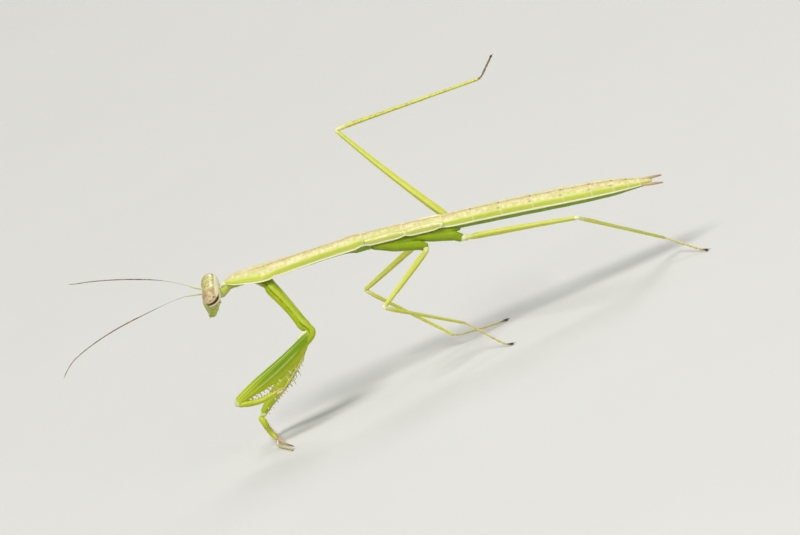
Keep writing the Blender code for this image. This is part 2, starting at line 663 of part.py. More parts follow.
def main():
    for old in list(bpy.data.objects):
        bpy.data.objects.remove(old, do_unlink=True)
    root = bpy.data.objects.new("mantis", None)
    bpy.context.scene.collection.objects.link(root)
    make_trunk(root)
    make_wing_pads(root)
    make_cerci(root)
    make_head(root)
    for side_name, hand in SIDES.items():
        make_foreleg(side_name, hand, root)
        for pair in ("mid", "hind"):
            make_walking_leg(pair, side_name, hand, root)
    centre_on_floor(root)


main()
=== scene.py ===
"""Looks of a young praying mantis, life size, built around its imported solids.

All lengths are millimetres and all angles degrees unless a name says otherwise; meshes are
scaled to metres when they are made. +X runs to the tail, +Y to the animal's right, +Z up.
"""

import math
import random
from itertools import pairwise

import bmesh
import bpy
import numpy as np
from mathutils import Matrix, Vector


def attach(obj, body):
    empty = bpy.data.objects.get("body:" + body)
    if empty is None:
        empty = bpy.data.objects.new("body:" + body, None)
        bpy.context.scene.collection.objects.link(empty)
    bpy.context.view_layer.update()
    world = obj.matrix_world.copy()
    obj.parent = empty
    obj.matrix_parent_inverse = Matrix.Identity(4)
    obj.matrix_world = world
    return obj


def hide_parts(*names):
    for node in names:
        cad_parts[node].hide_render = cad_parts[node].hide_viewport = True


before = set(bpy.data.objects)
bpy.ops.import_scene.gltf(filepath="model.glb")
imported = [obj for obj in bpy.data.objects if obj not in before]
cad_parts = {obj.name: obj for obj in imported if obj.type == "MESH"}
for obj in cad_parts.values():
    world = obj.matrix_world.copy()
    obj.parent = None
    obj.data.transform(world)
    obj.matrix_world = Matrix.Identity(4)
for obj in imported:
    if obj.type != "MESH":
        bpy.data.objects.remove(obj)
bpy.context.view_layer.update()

MM = 0.001
SIDES = {"left": 1, "right": -1}
UP = np.array((0.0, 0.0, 1.0))
BACKWARD = np.array((1.0, 0.0, 0.0))
BEAD_PLACE = 0.487              # the keel's white bead, from the back's midline 0 to the belly's 1

# Camera: height above the floor, turn about the animal, roll and distance.
CAMERA_ELEVATION = 13.0
CAMERA_TURN = 3.5
CAMERA_ROLL = 25.7
CAMERA_DISTANCE = 2000.0        # a long lens: near and far legs keep the same scale
FRAME_WIDTH = 88.0              # what the picture's width covers at the animal
AIM_RIGHT = -2.03               # picture's middle from the point under the animal's middle
AIM_UP = 11.91
AIM_NEAR = 3.2                  # the trunk lies this far on the camera's side of that point
SENSOR = 36.0


# ---------------------------------------------------------------- reading the frame

def unit(v):
    """The direction of a vector, or of each row of an array."""
    return v / np.linalg.norm(v, axis=-1, keepdims=True)


def span(values):
    """Half the width of a set of values, and their middle."""
    return (values.max() - values.min()) / 2, (values.max() + values.min()) / 2


def read_shape(name):
    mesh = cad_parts[name].data
    points = np.empty(len(mesh.vertices) * 3)
    mesh.vertices.foreach_get("co", points)
    ends = np.empty(len(mesh.edges) * 2, dtype=np.int32)
    mesh.edges.foreach_get("vertices", ends)
    return points.reshape(-1, 3) / MM, ends.reshape(-1, 2)


SHAPES = {name: read_shape(name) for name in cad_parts}


def middle_of(name):
    points = SHAPES[name][0]
    return (points.min(0) + points.max(0)) / 2


def section(name, point, normal):
    """Points where a node's surface crosses a plane."""
    points, ends = SHAPES[name]
    height = (points - point) @ normal
    a, b = ends.T
    cut = (height[a] > 0) != (height[b] > 0)
    a, b = a[cut], b[cut]
    share = height[a] / (height[a] - height[b])
    return points[a] + (points[b] - points[a]) * share[:, None]


def long_axis(name, near, reach=None):
    """A node's middle, the direction of its length away from a point, and its two limits.

    With reach, only the stretch within that distance of its near end counts.
    """
    points = SHAPES[name][0]
    if reach:
        end = points[np.linalg.norm(points - near, axis=1).argmin()]
        points = points[np.linalg.norm(points - end, axis=1) < reach]
    middle = points.mean(0)
    axis = np.linalg.svd(points - middle, full_matrices=False)[2][0]
    along = (points - middle) @ axis
    first, last = points[along.argmin()], points[along.argmax()]
    if np.linalg.norm(last - near) < np.linalg.norm(first - near):
        axis, along = -axis, -along
    return middle, axis, along.min(), along.max()


END_INSET = 0.03                # the first and last sections are cut this far inside a node


class Line:
    """Middle line of a node from its end near a point, with half sizes along up and across."""

    def __init__(self, name, near, up, count=9, reach=None):
        middle, axis, low, high = long_axis(name, near, reach)
        side = unit(np.cross(up, axis))
        above = np.cross(axis, side)
        self.axis = axis
        self.centres, self.tall, self.wide = [], [], []
        for k in range(count):
            at = low + END_INSET + (high - low - 2 * END_INSET) * k / (count - 1)
            cut = section(name, middle + axis * at, axis) - middle
            (tall, up_by), (wide, side_by) = span(cut @ above), span(cut @ side)
            self.centres.append(middle + axis * at + above * up_by + side * side_by)
            self.tall.append(tall)
            self.wide.append(wide)
        self.centres = np.array(self.centres)
        self.first, self.last = self.centres[0], self.centres[-1]


# ---------------------------------------------------------------- curves and tubes

def crossing(before, after):
    """Where the middle lines of two neighbouring leg pieces pass closest: their joint."""
    between = after.first - before.last
    ahead, short = np.linalg.lstsq(np.stack((before.axis, after.axis), 1), between, rcond=None)[0]
    return (before.last + before.axis * ahead + after.first - after.axis * short) / 2


def hermite(at, values, where):
    """Smooth curve through values given at increasing places, read at other places."""
    values = np.asarray(values, float)
    slopes = np.gradient(values, at, axis=0)
    i = np.clip(np.searchsorted(at, where, side="right") - 1, 0, len(at) - 2)
    width = at[i + 1] - at[i]
    u = (where - at[i]) / width
    if values.ndim == 2:
        u, width = u[:, None], width[:, None]
    return ((2 * u**3 - 3 * u**2 + 1) * values[i] + (u**3 - 2 * u**2 + u) * slopes[i] * width
            + (3 * u**2 - 2 * u**3) * values[i + 1] + (u**3 - u**2) * slopes[i + 1] * width)


def table(rows, where, column=1):
    """Smoothly interpolated column of a table whose first column is the place."""
    rows = np.asarray(rows, float)
    return hermite(rows[:, 0], rows[:, column], np.asarray(where, float))


def lengths_along(points):
    return np.concatenate(([0.0], np.cumsum(np.linalg.norm(np.diff(points, axis=0), axis=1))))


def smoothstep(x, low, high):
    t = np.clip((x - low) / (high - low), 0, 1)
    return t * t * (3 - 2 * t)


def hump(x, centre, half):
    """Smooth bell that is 1 at its centre and near 0 two half widths away."""
    return np.exp(-((x - centre) / half) ** 2)


def circle(sides):
    """Angles round a section from its top, and where they lie from 0 there to 1 below."""
    turn = np.linspace(0, 2 * math.pi, sides, endpoint=False)
    return turn, np.minimum(turn, 2 * math.pi - turn) / math.pi


def loft(centres, across, above, x, y):
    """Rings of points at sideways and upward distances from a row of centres."""
    across, above = (np.atleast_2d(way)[:, None, :] for way in (across, above))
    return centres[:, None, :] + above * y[..., None] + across * x[..., None]


def route(origin, ways, rows):
    """Points at given distances from an origin along each of some directions."""
    return [origin + sum(way * distance for way, distance in zip(ways, row)) for row in rows]


def add_object(name, data):
    """Puts a new object into the scene."""
    made = bpy.data.objects.new(name, data)
    bpy.context.scene.collection.objects.link(made)
    return made


class Skin:
    """Closed tubes gathered into one mesh, with the named values that its materials read."""

    def __init__(self, materials, keys=("along", "around", "level")):
        self.materials = materials
        self.points, self.faces, self.slots = [], [], []
        self.values = {key: [] for key in keys}
        self.count = 0

    def rings(self, rings, material, **values):
        """Adds a loft of rings (n, m, 3), closed by a fan at each end."""
        n, m = rings.shape[:2]
        base = self.count
        self.points.append(rings.reshape(-1, 3))
        self.points.append(np.array((rings[0].mean(0), rings[-1].mean(0))))
        for key, kept in self.values.items():
            given = np.broadcast_to(values.get(key, 0.0), (n, m)).astype(float)
            kept.append(given.reshape(-1))
            kept.append(np.array((given[0].mean(), given[-1].mean())))
        low, high = base + n * m, base + n * m + 1
        last = base + (n - 1) * m
        beside = [(j, (j + 1) % m) for j in range(m)]
        faces = [(row + a, row + b, row + m + b, row + m + a)
                 for row in range(base, last, m) for a, b in beside]
        for a, b in beside:
            faces += [(low, base + b, base + a), (high, last + a, last + b)]
        self.faces += faces
        self.slots += [self.materials.index(material)] * len(faces)
        self.count += n * m + 2

    def bristle(self, root, way, length, radius, material):
        """Three-sided hair."""
        way = unit(way)
        side = unit(np.cross(way, (0.31, 0.52, 0.79)))
        other = np.cross(way, side)
        turns = [2 * math.pi * k / 3 for k in range(3)]
        base = self.count
        foot = [root - way * radius + (side * math.cos(a) + other * math.sin(a)) * radius for a in turns]
        self.points.append(np.array([*foot, root + way * length]))
        for key, kept in self.values.items():
            kept.append(np.array((0.3, 0.3, 0.3, 1.0)) if key == "along" else np.zeros(4))
        self.faces += [(base + 2, base + 1, base), (base, base + 1, base + 3),
                       (base + 1, base + 2, base + 3), (base + 2, base, base + 3)]
        self.slots += [self.materials.index(material)] * 4
        self.count += 4

    def build(self, name, replaced=()):
        """Makes the mesh and says what it rides on, replaces and takes its finish from."""
        mesh = bpy.data.meshes.new(name)
        mesh.from_pydata((np.concatenate(self.points) * MM).tolist(), [], self.faces)
        mesh.polygons.foreach_set("material_index", self.slots)
        for key, kept in self.values.items():
            layer = mesh.attributes.new(key, "FLOAT", "POINT")
            layer.data.foreach_set("value", np.concatenate(kept).astype(np.float32))
        for material in self.materials:
            mesh.materials.append(MATERIALS[material])
        turn_outwards(mesh)
        mesh.shade_smooth()
        piece = add_object(name, mesh)
        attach(piece, "root")
        if replaced:
            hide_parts(*replaced)


def turn_outwards(mesh):
    """Makes every closed shell's faces point out."""
    made = bmesh.new()
    made.from_mesh(mesh)
    bmesh.ops.recalc_face_normals(made, faces=made.faces)
    made.to_mesh(mesh)
    made.free()


CAP_STEPS = 5


def capped(length, steps, ends):
    """Places along a length with its two ends rounded, and the scale of the section at each."""
    angles = np.linspace(0, math.pi / 2, CAP_STEPS + 1)[1:]
    where = np.concatenate((ends[0] * (1 - np.cos(angles)),
                            np.linspace(ends[0], length - ends[1], steps)[1:-1],
                            length - ends[1] * (1 - np.cos(angles[::-1]))))
    scale = np.ones(len(where))
    scale[:CAP_STEPS] = np.sin(angles)
    scale[-CAP_STEPS:] = np.sin(angles[::-1])
    return where, scale


def tube(skin, path, up, size, material, sides=20, steps=30, ends=(0.15, 0.15), shape=None,
         wide=None, level=0.0, first=0.0, last=1.0):
    """Rounded tube on a smooth path; size and wide are tables of half sizes, up sets its top.

    Without wide it is as wide as it is tall. Its materials read along from first to last, and
    around from 0 on top to 1 below.
    """
    path = np.asarray(path, float)
    at = lengths_along(path)
    where, scale = capped(at[-1], steps, ends)
    centres = hermite(at, path, where)
    tangents = unit(np.gradient(centres, where, axis=0))
    across = unit(np.cross(up, tangents))
    t = where / at[-1]
    turn, around = circle(sides)
    swell = shape(t[:, None], turn) if shape else 1.0
    y = np.cos(turn) * (table(size, t) * scale)[:, None] * swell
    x = np.sin(turn) * (table(wide or size, t) * scale)[:, None] * swell
    skin.rings(loft(centres, across, np.cross(tangents, across), x, y), material,
               along=(first + t * (last - first))[:, None], around=around, level=level)


def cone(skin, root, way, length, radius, material, bend=None, sides=6):
    """Slender spine; bend is the direction its tip curves towards."""
    way = unit(np.asarray(way, float))
    curl = np.zeros(3) if bend is None else np.asarray(bend, float)
    path = [root + way * (length * s) + curl * (length * s * s) for s in (0, 0.35, 0.7, 1.0)]
    other = UP if abs(way[2]) < 0.9 else BACKWARD
    size = ((0, radius), (0.5, radius * 0.62), (1, radius * 0.12))
    tube(skin, path, other, size, material, sides=sides, steps=6, ends=(0.01, 0.02))


# ---------------------------------------------------------------- materials

MATERIALS = {}
SHEEN = 0.28                    # the shell reflects less than polished plastic does
COAT_ROUGHNESS = 0.15
GLOW_RADIUS = (0.6, 0.6, 0.05)  # light spreads inside the shell in red and green, hardly in blue
GLOW_DEPTH = 0.4                # and this far, in millimetres
ALL_WAYS = (1, 1, 1)

WHITE = (0.88, 0.86, 0.60)
# painted highlight: the white strip along the back of the crown and eyes
HIGHLIGHT_WHITE = (0.88, 0.84, 0.58)
PALE = (0.74, 0.74, 0.26)
CREAM = (0.80, 0.77, 0.42)
PINKISH = (0.68, 0.58, 0.27)
SAND = (0.66, 0.60, 0.28)
OLIVE = (0.42, 0.40, 0.10)
SPECK = (0.14, 0.10, 0.04)
YELLOW_GREEN = (0.56, 0.61, 0.13)
LIME = (0.50, 0.58, 0.05)
GREEN = (0.14, 0.26, 0.003)
BROWN = (0.10, 0.045, 0.015)
TAN = (0.46, 0.34, 0.13)
DARKER = 0.75                   # the second tone of soft skin and horn against the first
EYE_CELL = 0.035                # between the facets of the eyes


class Paint:
    """One procedural material: a base colour with others laid over it under masks."""

    def __init__(self, name, roughness=0.42, subsurface=0.08, coat=0.04):
        self.material = bpy.data.materials.new(name)
        self.material.use_nodes = True
        self.tree = self.material.node_tree
        self.shader = self.tree.nodes["Principled BSDF"]
        self.colour = None
        for socket, value in (("Roughness", roughness), ("Specular IOR Level", SHEEN),
                              ("Coat Weight", coat), ("Coat Roughness", COAT_ROUGHNESS),
                              ("Subsurface Weight", subsurface), ("Subsurface Radius", GLOW_RADIUS),
                              ("Subsurface Scale", GLOW_DEPTH * MM)):
            self.shader.inputs[socket].default_value = value
        MATERIALS[name] = self.material

    def feed(self, socket, value):
        if isinstance(value, bpy.types.NodeSocket):
            self.tree.links.new(value, socket)
        elif isinstance(value, tuple) and len(value) == 3 and socket.type == "RGBA":
            socket.default_value = (*value, 1.0)
        else:
            socket.default_value = value

    def node(self, kind, output, inputs=(), **settings):
        """Makes a node, sets or links its inputs, and gives one of its outputs."""
        made = self.tree.nodes.new(kind)
        for key, value in settings.items():
            setattr(made, key, value)
        for socket, value in dict(inputs).items():
            self.feed(made.inputs[socket], value)
        return made.outputs[output]

    def values(self, *names):
        """The mesh's named values; a single name gives a single socket."""
        found = [self.node("ShaderNodeAttribute", "Fac", attribute_name=name) for name in names]
        return found if len(found) > 1 else found[0]

    def math(self, operation, a, b=0.0):
        return self.node("ShaderNodeMath", 0, {0: a, 1: b}, operation=operation)

    def product(self, first, *others):
        for other in others:
            first = self.math("MULTIPLY", first, other)
        return first

    def place(self):
        return self.node("ShaderNodeTexCoord", "Object")

    def noise(self, size, detail=3.0, stretch=ALL_WAYS, rough=0.55):
        """Noise whose blotches are about size millimetres across, in object space."""
        scale = tuple(s / (size * MM) for s in stretch)
        scaled = self.node("ShaderNodeMapping", "Vector", {"Vector": self.place(), "Scale": scale})
        return self.node("ShaderNodeTexNoise", "Fac", {"Vector": scaled, "Scale": 1.0,
                                                       "Detail": detail, "Roughness": rough})

    def step(self, value, low, high):
        """0 at low, 1 at high, smooth between them; low may be above high."""
        limits = {"Value": value, "From Min": min(low, high), "From Max": max(low, high),
                  "To Min": float(low > high), "To Max": float(low < high)}
        return self.node("ShaderNodeMapRange", "Result", limits, interpolation_type="SMOOTHSTEP")

    def blots(self, size, low, high, detail=3.0, stretch=ALL_WAYS, rough=0.55):
        """Noise cut into blotches: 0 where it is under low, 1 where it is over high."""
        return self.step(self.noise(size, detail, stretch, rough), low, high)

    def band(self, value, centre, half, soft):
        distance = self.math("ABSOLUTE", self.math("SUBTRACT", value, centre))
        return self.step(distance, half + soft, half)

    def strayed(self, value, size, reach):
        """A value that wanders up and down by half the reach, so that borders aren't ruled."""
        wander = self.product(self.math("SUBTRACT", self.noise(size), 0.5), reach)
        return self.math("ADD", value, wander)

    def mix(self, mask, a, b):
        return self.node("ShaderNodeMix", 2, {0: mask, 6: a, 7: b}, data_type="RGBA")

    def base(self, mask, a, b):
        self.colour = self.mix(mask, a, b)

    def lay(self, colour, *masks):
        """Lays a colour over what is there, as strongly as the product of the masks."""
        self.colour = self.mix(self.product(*masks), self.colour, colour)

    def finish(self, height=None, depth=0.0):
        self.feed(self.shader.inputs["Base Color"], self.colour)
        if height is not None:
            bump = self.node("ShaderNodeBump", "Normal", {"Height": height, "Distance": depth * MM})
            self.feed(self.shader.inputs["Normal"], bump)

    def grained(self, size=0.09, depth=0.012):
        """Finishes the shell with a fine grain."""
        self.finish(self.noise(size), depth)


def paint_trunk():
    """Speckled pinkish back, yellow-green flank, white keel line and green underside."""
    paint = Paint("trunk_shell")
    around, along, dots, rim = paint.values("around", "along", "level", "rim")
    place = paint.strayed(around, 1.4, 0.10)
    paint.base(paint.noise(0.9, stretch=(0.35, 1, 1)), YELLOW_GREEN, PALE)
    paint.lay(CREAM, paint.blots(0.35, 0.50, 0.66, 4.0, (0.3, 1, 1)), paint.step(along, 0.45, 0.55), 0.6)
    flank = paint.colour
    paint.base(paint.blots(0.4, 0.34, 0.62, 5.0), PINKISH, CREAM)
    paint.lay((0.56, 0.62, 0.16), paint.blots(0.7, 0.46, 0.62, 4.0, (0.5, 1, 1)), 0.55)
    paint.lay((0.56, 0.38, 0.20), paint.step(place, 0.14, 0.02), 0.45)
    paint.lay(flank, paint.step(place, 0.17, 0.30))
    paint.lay(LIME, paint.band(place, 0.36, 0.030, 0.08), 0.8)
    for size, strength in ((0.09, 0.45), (0.16, 0.30)):
        paint.lay(SPECK, paint.blots(size, 0.54, 0.74, 4.0, rough=0.7),
                  paint.step(place, 0.30, 0.10), strength)
    paint.lay(SPECK, paint.band(around, 0.0, 0.004, 0.030), paint.step(along, 0.04, 0.10),
              paint.blots(0.22, 0.34, 0.62, 5.0, rough=0.7), 0.55)
    paint.lay(CREAM, rim, paint.step(around, 0.52, 0.44), 0.75)
    paint.lay((0.52, 0.60, 0.07), paint.step(along, 0.10, 0.05), paint.step(place, 0.06, 0.2), 0.6)
    paint.lay(WHITE, paint.band(around, BEAD_PLACE, 0.030, 0.018))
    under = paint.mix(paint.noise(0.8), GREEN, (0.28, 0.42, 0.02))
    paint.lay(under, paint.step(around, 0.525, 0.545))
    paint.lay(SPECK, dots)
    paint.finish(paint.math("ADD", paint.noise(0.07), paint.product(paint.noise(0.3), 0.6)), 0.02)


def paint_head():
    """Yellow-green face, olive patches, sandy crown and a painted highlight as a white strip behind it."""
    paint = Paint("head_shell")
    around, along, dots = paint.values("around", "along", "level")
    paint.base(paint.noise(0.6), (0.40, 0.48, 0.05), (0.54, 0.60, 0.12))
    paint.lay((0.18, 0.24, 0.02), paint.blots(0.35, 0.50, 0.62), 0.45)
    crown = paint.mix(paint.blots(0.3, 0.38, 0.62, 4.0), OLIVE, SAND)
    # painted highlight: the back of the crown turns white
    crown = paint.mix(paint.step(around, 0.66, 0.80), crown, HIGHLIGHT_WHITE)
    paint.lay(crown, paint.step(along, 0.36, 0.24))
    paint.lay(SPECK, paint.blots(0.13, 0.62, 0.70, 2.0), 0.4)
    paint.lay((0.03, 0.02, 0.01), dots)
    paint.grained(0.06, 0.015)


def paint_under():
    """Coxae and the bulges that they hang from: clear green with a pale lower edge."""
    paint = Paint("under_shell", roughness=0.50, coat=0.0)
    paint.base(paint.noise(0.7, stretch=(0.6, 1, 1)), (0.17, 0.29, 0.002), (0.32, 0.42, 0.006))
    paint.lay((0.58, 0.62, 0.16), paint.band(paint.values("around"), 0.84, 0.02, 0.06), 0.75)
    paint.grained(0.08)


def paint_fore_coxa():
    """Green prism with pale edges, a brownish lengthwise line and yellow blotches."""
    paint = Paint("fore_coxa_shell")
    around, along = paint.values("around", "along")
    paint.base(paint.noise(0.9, stretch=(0.7, 1, 0.5)), (0.26, 0.38, 0.004), (0.48, 0.55, 0.012))
    paint.lay((0.58, 0.54, 0.03), paint.blots(0.45, 0.52, 0.66), paint.band(along, 0.50, 0.16, 0.2), 0.35)
    paint.lay((0.10, 0.11, 0.012), paint.band(around, 0.46, 0.018, 0.03), paint.blots(1.4, 0.36, 0.52), 0.8)
    for edge in (0.0, 1.0):
        paint.lay(PALE, paint.band(around, edge, 0.03, 0.06), 0.6)
    paint.grained()


def paint_fore_femur():
    """Deep green towards the elbow, yellow towards the knee, with fine pale ridges; the right femur is
    painted lighter all over as painted light.
    """
    paint = Paint("fore_femur_shell")
    around, along, lit_side_and_pale_knee = paint.values("around", "along", "level")
    place = paint.strayed(along, 1.5, 0.3)
    paint.base(paint.step(place, 0.45, 1.0), (0.18, 0.31, 0.002), (0.42, 0.50, 0.008))
    paint.lay((0.52, 0.56, 0.012), paint.step(around, 0.58, 0.84), 0.8)
    # level lays a lighter green: painted light all over the right femur, and the pale green of both knees
    paint.lay((0.36, 0.46, 0.006), lit_side_and_pale_knee)
    paint.lay(PALE, paint.band(around, 0.0, 0.030, 0.035), 0.9)
    fade = paint.step(along, 0.14, 0.30)
    for centre, half, strength in ((1.0, 0.05, 0.7), (0.30, 0.004, 0.40), (0.44, 0.004, 0.25),
                                   (0.60, 0.006, 0.35)):
        paint.lay(PALE, paint.band(around, centre, half, 0.035), strength, fade)
    paint.lay(WHITE, paint.step(along, 0.965, 0.99), 0.7)
    paint.grained()


def paint_fore_tibia():
    paint = Paint("fore_tibia_shell")
    around, along = paint.values("around", "along")
    paint.base(paint.noise(0.7), (0.40, 0.48, 0.02), (0.55, 0.60, 0.04))
    paint.lay(PALE, paint.band(around, 1.0, 0.10, 0.12), 0.8)
    paint.lay((0.60, 0.36, 0.22), paint.step(around, 0.20, 0.05), paint.step(along, 0.5, 0.9), 0.6)
    paint.grained()


def paint_leg():
    """Walking legs: yellow-green with pale ridges; level brings tan blotches."""
    paint = Paint("leg_shell")
    around, along, blotched = paint.values("around", "along", "level")
    paint.base(paint.noise(0.7, stretch=(0.7, 1, 1)), (0.52, 0.58, 0.03), (0.68, 0.70, 0.09))
    for ridge in (0.0, 0.5, 1.0):
        paint.lay(PALE, paint.band(around, ridge, 0.05, 0.09), 0.6)
    paint.lay(TAN, paint.blots(0.35, 0.48, 0.62), blotched, 0.6)
    paint.lay(WHITE, paint.step(along, 0.10, 0.01), 0.5)
    paint.lay(WHITE, paint.band(along, 1.0, 0.008, 0.02), 0.8)
    paint.grained(0.10)


def paint_foot():
    paint = Paint("foot_shell", roughness=0.45, subsurface=0.1, coat=0.0)
    along, dark = paint.values("along", "level")
    paint.base(paint.noise(0.3), (0.50, 0.44, 0.11), (0.62, 0.58, 0.24))
    paint.lay(TAN, paint.blots(0.22, 0.55, 0.66, 2.0), 0.6)
    paint.lay((0.22, 0.17, 0.08), dark)
    paint.lay(BROWN, paint.step(along, 0.80, 0.97))
    paint.grained(0.08)


def paint_eye():
    """Compound eye: pinkish outside with brown bands, olive-speckled inside, a painted white highlight
    behind and a painted pseudopupil as a fixed dark dot.
    """
    paint = Paint("eye_facets", roughness=0.30, subsurface=0.0, coat=0.15)
    curved, straight, lengthwise, out, spot, forward = paint.values(
        "curved", "straight", "lengthwise", "out", "spot", "forward")
    outside = paint.product(paint.step(out, 0.50, 0.60), paint.step(forward, -0.92, -0.74))
    outer = paint.mix(paint.blots(0.3, 0.36, 0.64, 4.0), (0.48, 0.35, 0.16), (0.70, 0.57, 0.34))
    paint.base(paint.blots(0.3, 0.38, 0.62, 4.0), OLIVE, SAND)
    paint.lay((0.26, 0.23, 0.05), paint.blots(0.13, 0.52, 0.66), 0.65)
    paint.colour = paint.mix(paint.step(out, 0.68, 0.50), outer, paint.colour)
    for centre, half, strength in ((-0.66, 0.03, 0.75), (-0.83, 0.03, 0.65), (-0.50, 0.02, 0.35)):
        paint.lay((0.24, 0.11, 0.05), paint.band(straight, centre, half, 0.03), strength, outside)
    # painted highlight: white towards the back of the eye
    paint.lay(HIGHLIGHT_WHITE, paint.step(lengthwise, -0.40, -0.66), paint.step(forward, -0.40, -0.62))
    paint.lay((0.84, 0.74, 0.42), paint.band(curved, 0.76, 0.10, 0.04), outside)
    paint.lay((0.070, 0.022, 0.006), paint.band(curved, 0.53, 0.115, 0.035), outside)
    paint.lay((0.30, 0.12, 0.04), paint.band(curved, 0.90, 0.05, 0.04), 0.8, outside)
    paint.lay((0.62, 0.62, 0.20), paint.step(curved, 0.98, 1.06))
    # painted pseudopupil: a fixed dark dot where, in life, the eye looks dark only towards the viewer
    paint.lay((0.006, 0.003, 0.002), paint.step(spot, 0.095, 0.065))
    paint.finish(paint.node("ShaderNodeTexVoronoi", "Distance",
                            {"Vector": paint.place(), "Scale": 1 / (EYE_CELL * MM)}), -0.004)


def paint_pad():
    """Wing pad: green below, pinkish above like the back, with white borders and pale veins."""
    paint = Paint("wing_pad_shell")
    across, along = paint.values("around", "along")
    paint.base(paint.blots(0.4, 0.34, 0.62, 5.0), PINKISH, CREAM)
    paint.lay(YELLOW_GREEN, paint.blots(0.6, 0.44, 0.62, 4.0, (0.5, 1, 1)), 0.6)
    lower = paint.mix(paint.noise(0.5, stretch=(0.4, 1, 1)), (0.44, 0.54, 0.04), YELLOW_GREEN)
    paint.colour = paint.mix(paint.step(across, 0.46, 0.62), lower, paint.colour)
    paint.lay(WHITE, paint.step(across, 0.25, 0.18))
    paint.lay(WHITE, paint.band(across, 0.80, 0.02, 0.05), paint.step(along, 0.1, 0.4), 0.7)
    paint.lay(WHITE, paint.step(along, 0.88, 0.97), 0.8)
    wander = paint.product(paint.noise(1.2), 0.25)
    waves = paint.math("FRACT", paint.product(paint.math("ADD", across, wander), 5.0))
    veins = paint.product(paint.band(waves, 0.5, 0.02, 0.14), paint.noise(0.4))
    paint.lay(CREAM, veins, 0.6)
    paint.finish(paint.math("ADD", veins, paint.noise(0.1)), 0.012)


def paint_feeler():
    """Whitish-green root, brown thread with pale joints and a pale tip."""
    paint = Paint("feeler_skin", roughness=0.5, subsurface=0.0, coat=0.0)
    along = paint.values("along")
    paint.base(paint.noise(0.3), (0.66, 0.68, 0.46), (0.56, 0.60, 0.34))
    brown = paint.mix(paint.blots(0.5, 0.4, 0.62), (0.16, 0.10, 0.045), (0.34, 0.25, 0.12))
    paint.lay(brown, paint.step(along, 0.07, 0.30))
    paint.lay((0.62, 0.52, 0.34), paint.step(along, 0.975, 0.99))
    paint.grained(0.08, 0.01)


def paint_plain(name, light, tip, size, roughness=0.4, start=0.45, end=0.95):
    """Soft skin, horn or hair in two close tones, with another colour towards its tip."""
    paint = Paint(name, roughness, subsurface=0.0, coat=0.0)
    paint.base(paint.noise(size), light, tuple(c * DARKER for c in light))
    paint.lay(tip, paint.step(paint.values("along"), start, end))
    paint.grained(size / 3, 0.008)


for make in (paint_trunk, paint_head, paint_under, paint_fore_coxa, paint_fore_femur,
             paint_fore_tibia, paint_leg, paint_foot, paint_eye, paint_pad, paint_feeler):
    make()
paint_plain("joint_skin", (0.76, 0.74, 0.42), (0.70, 0.70, 0.32), 0.3)
paint_plain("neck_skin", (0.62, 0.66, 0.20), (0.42, 0.50, 0.05), 0.4, start=0.0, end=0.5)
paint_plain("blade_skin", (0.86, 0.85, 0.52), (0.62, 0.66, 0.20), 0.3, start=0.6, end=1.0)
paint_plain("spine_horn", (0.78, 0.74, 0.40), (0.16, 0.08, 0.03), 0.2, 0.3, start=0.55)
paint_plain("pink_horn", (0.66, 0.42, 0.26), (0.10, 0.04, 0.02), 0.2, 0.3, start=0.5)
paint_plain("claw_horn", (0.20, 0.09, 0.03), (0.04, 0.02, 0.01), 0.2, 0.3)
paint_plain("hair", (0.62, 0.56, 0.32), (0.40, 0.32, 0.16), 0.3)
paint_plain("cercus_skin", (0.62, 0.44, 0.22), (0.40, 0.24, 0.12), 0.3, 0.55)


# ---------------------------------------------------------------- trunk

TRUNK_NODES = ("prothorax", "mesothorax", "metathorax", "abdomen")
SECTIONS_PER_MM = 1.5


class Trunk:
    """The trunk's middle line and half sizes, read from its four solids."""

    def __init__(self):
        head_side = unit(middle_of("eye_left") - middle_of("eye_right"))
        tail_side = unit(middle_of("cercus_left") - middle_of("cercus_right"))
        near = middle_of("head")
        rows, axes, self.borders = [], [], []
        reached = 0.0
        for name in TRUNK_NODES:
            middle, axis, low, high = long_axis(name, near)
            self.borders.append(reached)
            count = round((high - low) * SECTIONS_PER_MM)
            for k in range(count):
                share = (k + 0.5) / count
                at = low + (high - low) * share
                side = head_side if name == "prothorax" else tail_side
                side = unit(side - axis * (side @ axis))
                back = np.cross(axis, side)
                back = back if back[2] > 0 else -back
                cut = section(name, middle + axis * at, axis) - middle
                u, v = cut @ side, cut @ back
                level = (v[u.argmax()] + v[u.argmin()]) / 2
                width, side_by = span(u)
                rows.append((reached + (high - low) * share,
                             *(middle + axis * at + side * side_by + back * level),
                             width, v.max() - level, level - v.min()))
            axes.append(axis)
            reached += high - low
            near = middle
        self.length = reached
        self.borders.append(reached)
        self.rows = np.array(rows)
        self.axes = (axes[0], axes[-1])
        self.sides = (head_side, tail_side)

    def read(self, s):
        """Points, tangents, side and back directions, and half sizes at places along it."""
        s = np.atleast_1d(np.asarray(s, float))
        inside = np.clip(s, self.rows[0, 0], self.rows[-1, 0])
        columns = np.stack([np.interp(inside, self.rows[:, 0], self.rows[:, k])
                            for k in range(1, 7)], 1)
        share = np.clip(s / self.length, 0, 1)[:, None]
        tangents = unit(self.axes[0] * (1 - share) + self.axes[1] * share)
        side = self.sides[0] * (1 - share) + self.sides[1] * share
        side = unit(side - tangents * (side * tangents).sum(1)[:, None])
        back = np.cross(side, tangents)
        back[back[:, 2] < 0] *= -1
        points = columns[:, :3] + tangents * (s - inside)[:, None]
        return points, tangents, side, back, columns[:, 3], columns[:, 4], columns[:, 5]

    def place(self, s, sideways, above):
        point, _, side, back = (part[0] for part in self.read(s)[:4])
        return point + side * sideways + back * above

    def nearest(self, points):
        """How far along the trunk each point lies."""
        s = np.interp(points[:, 0], self.rows[:, 1], self.rows[:, 0])
        for _ in range(2):
            middle, tangent = self.read(s)[:2]
            s = s + ((points - middle) * tangent).sum(1)
        return s


trunk = Trunk()
NECK_END, WAIST, HIND_WAIST, ABDOMEN_START = 4.4, trunk.borders[1], trunk.borders[2], trunk.borders[3]
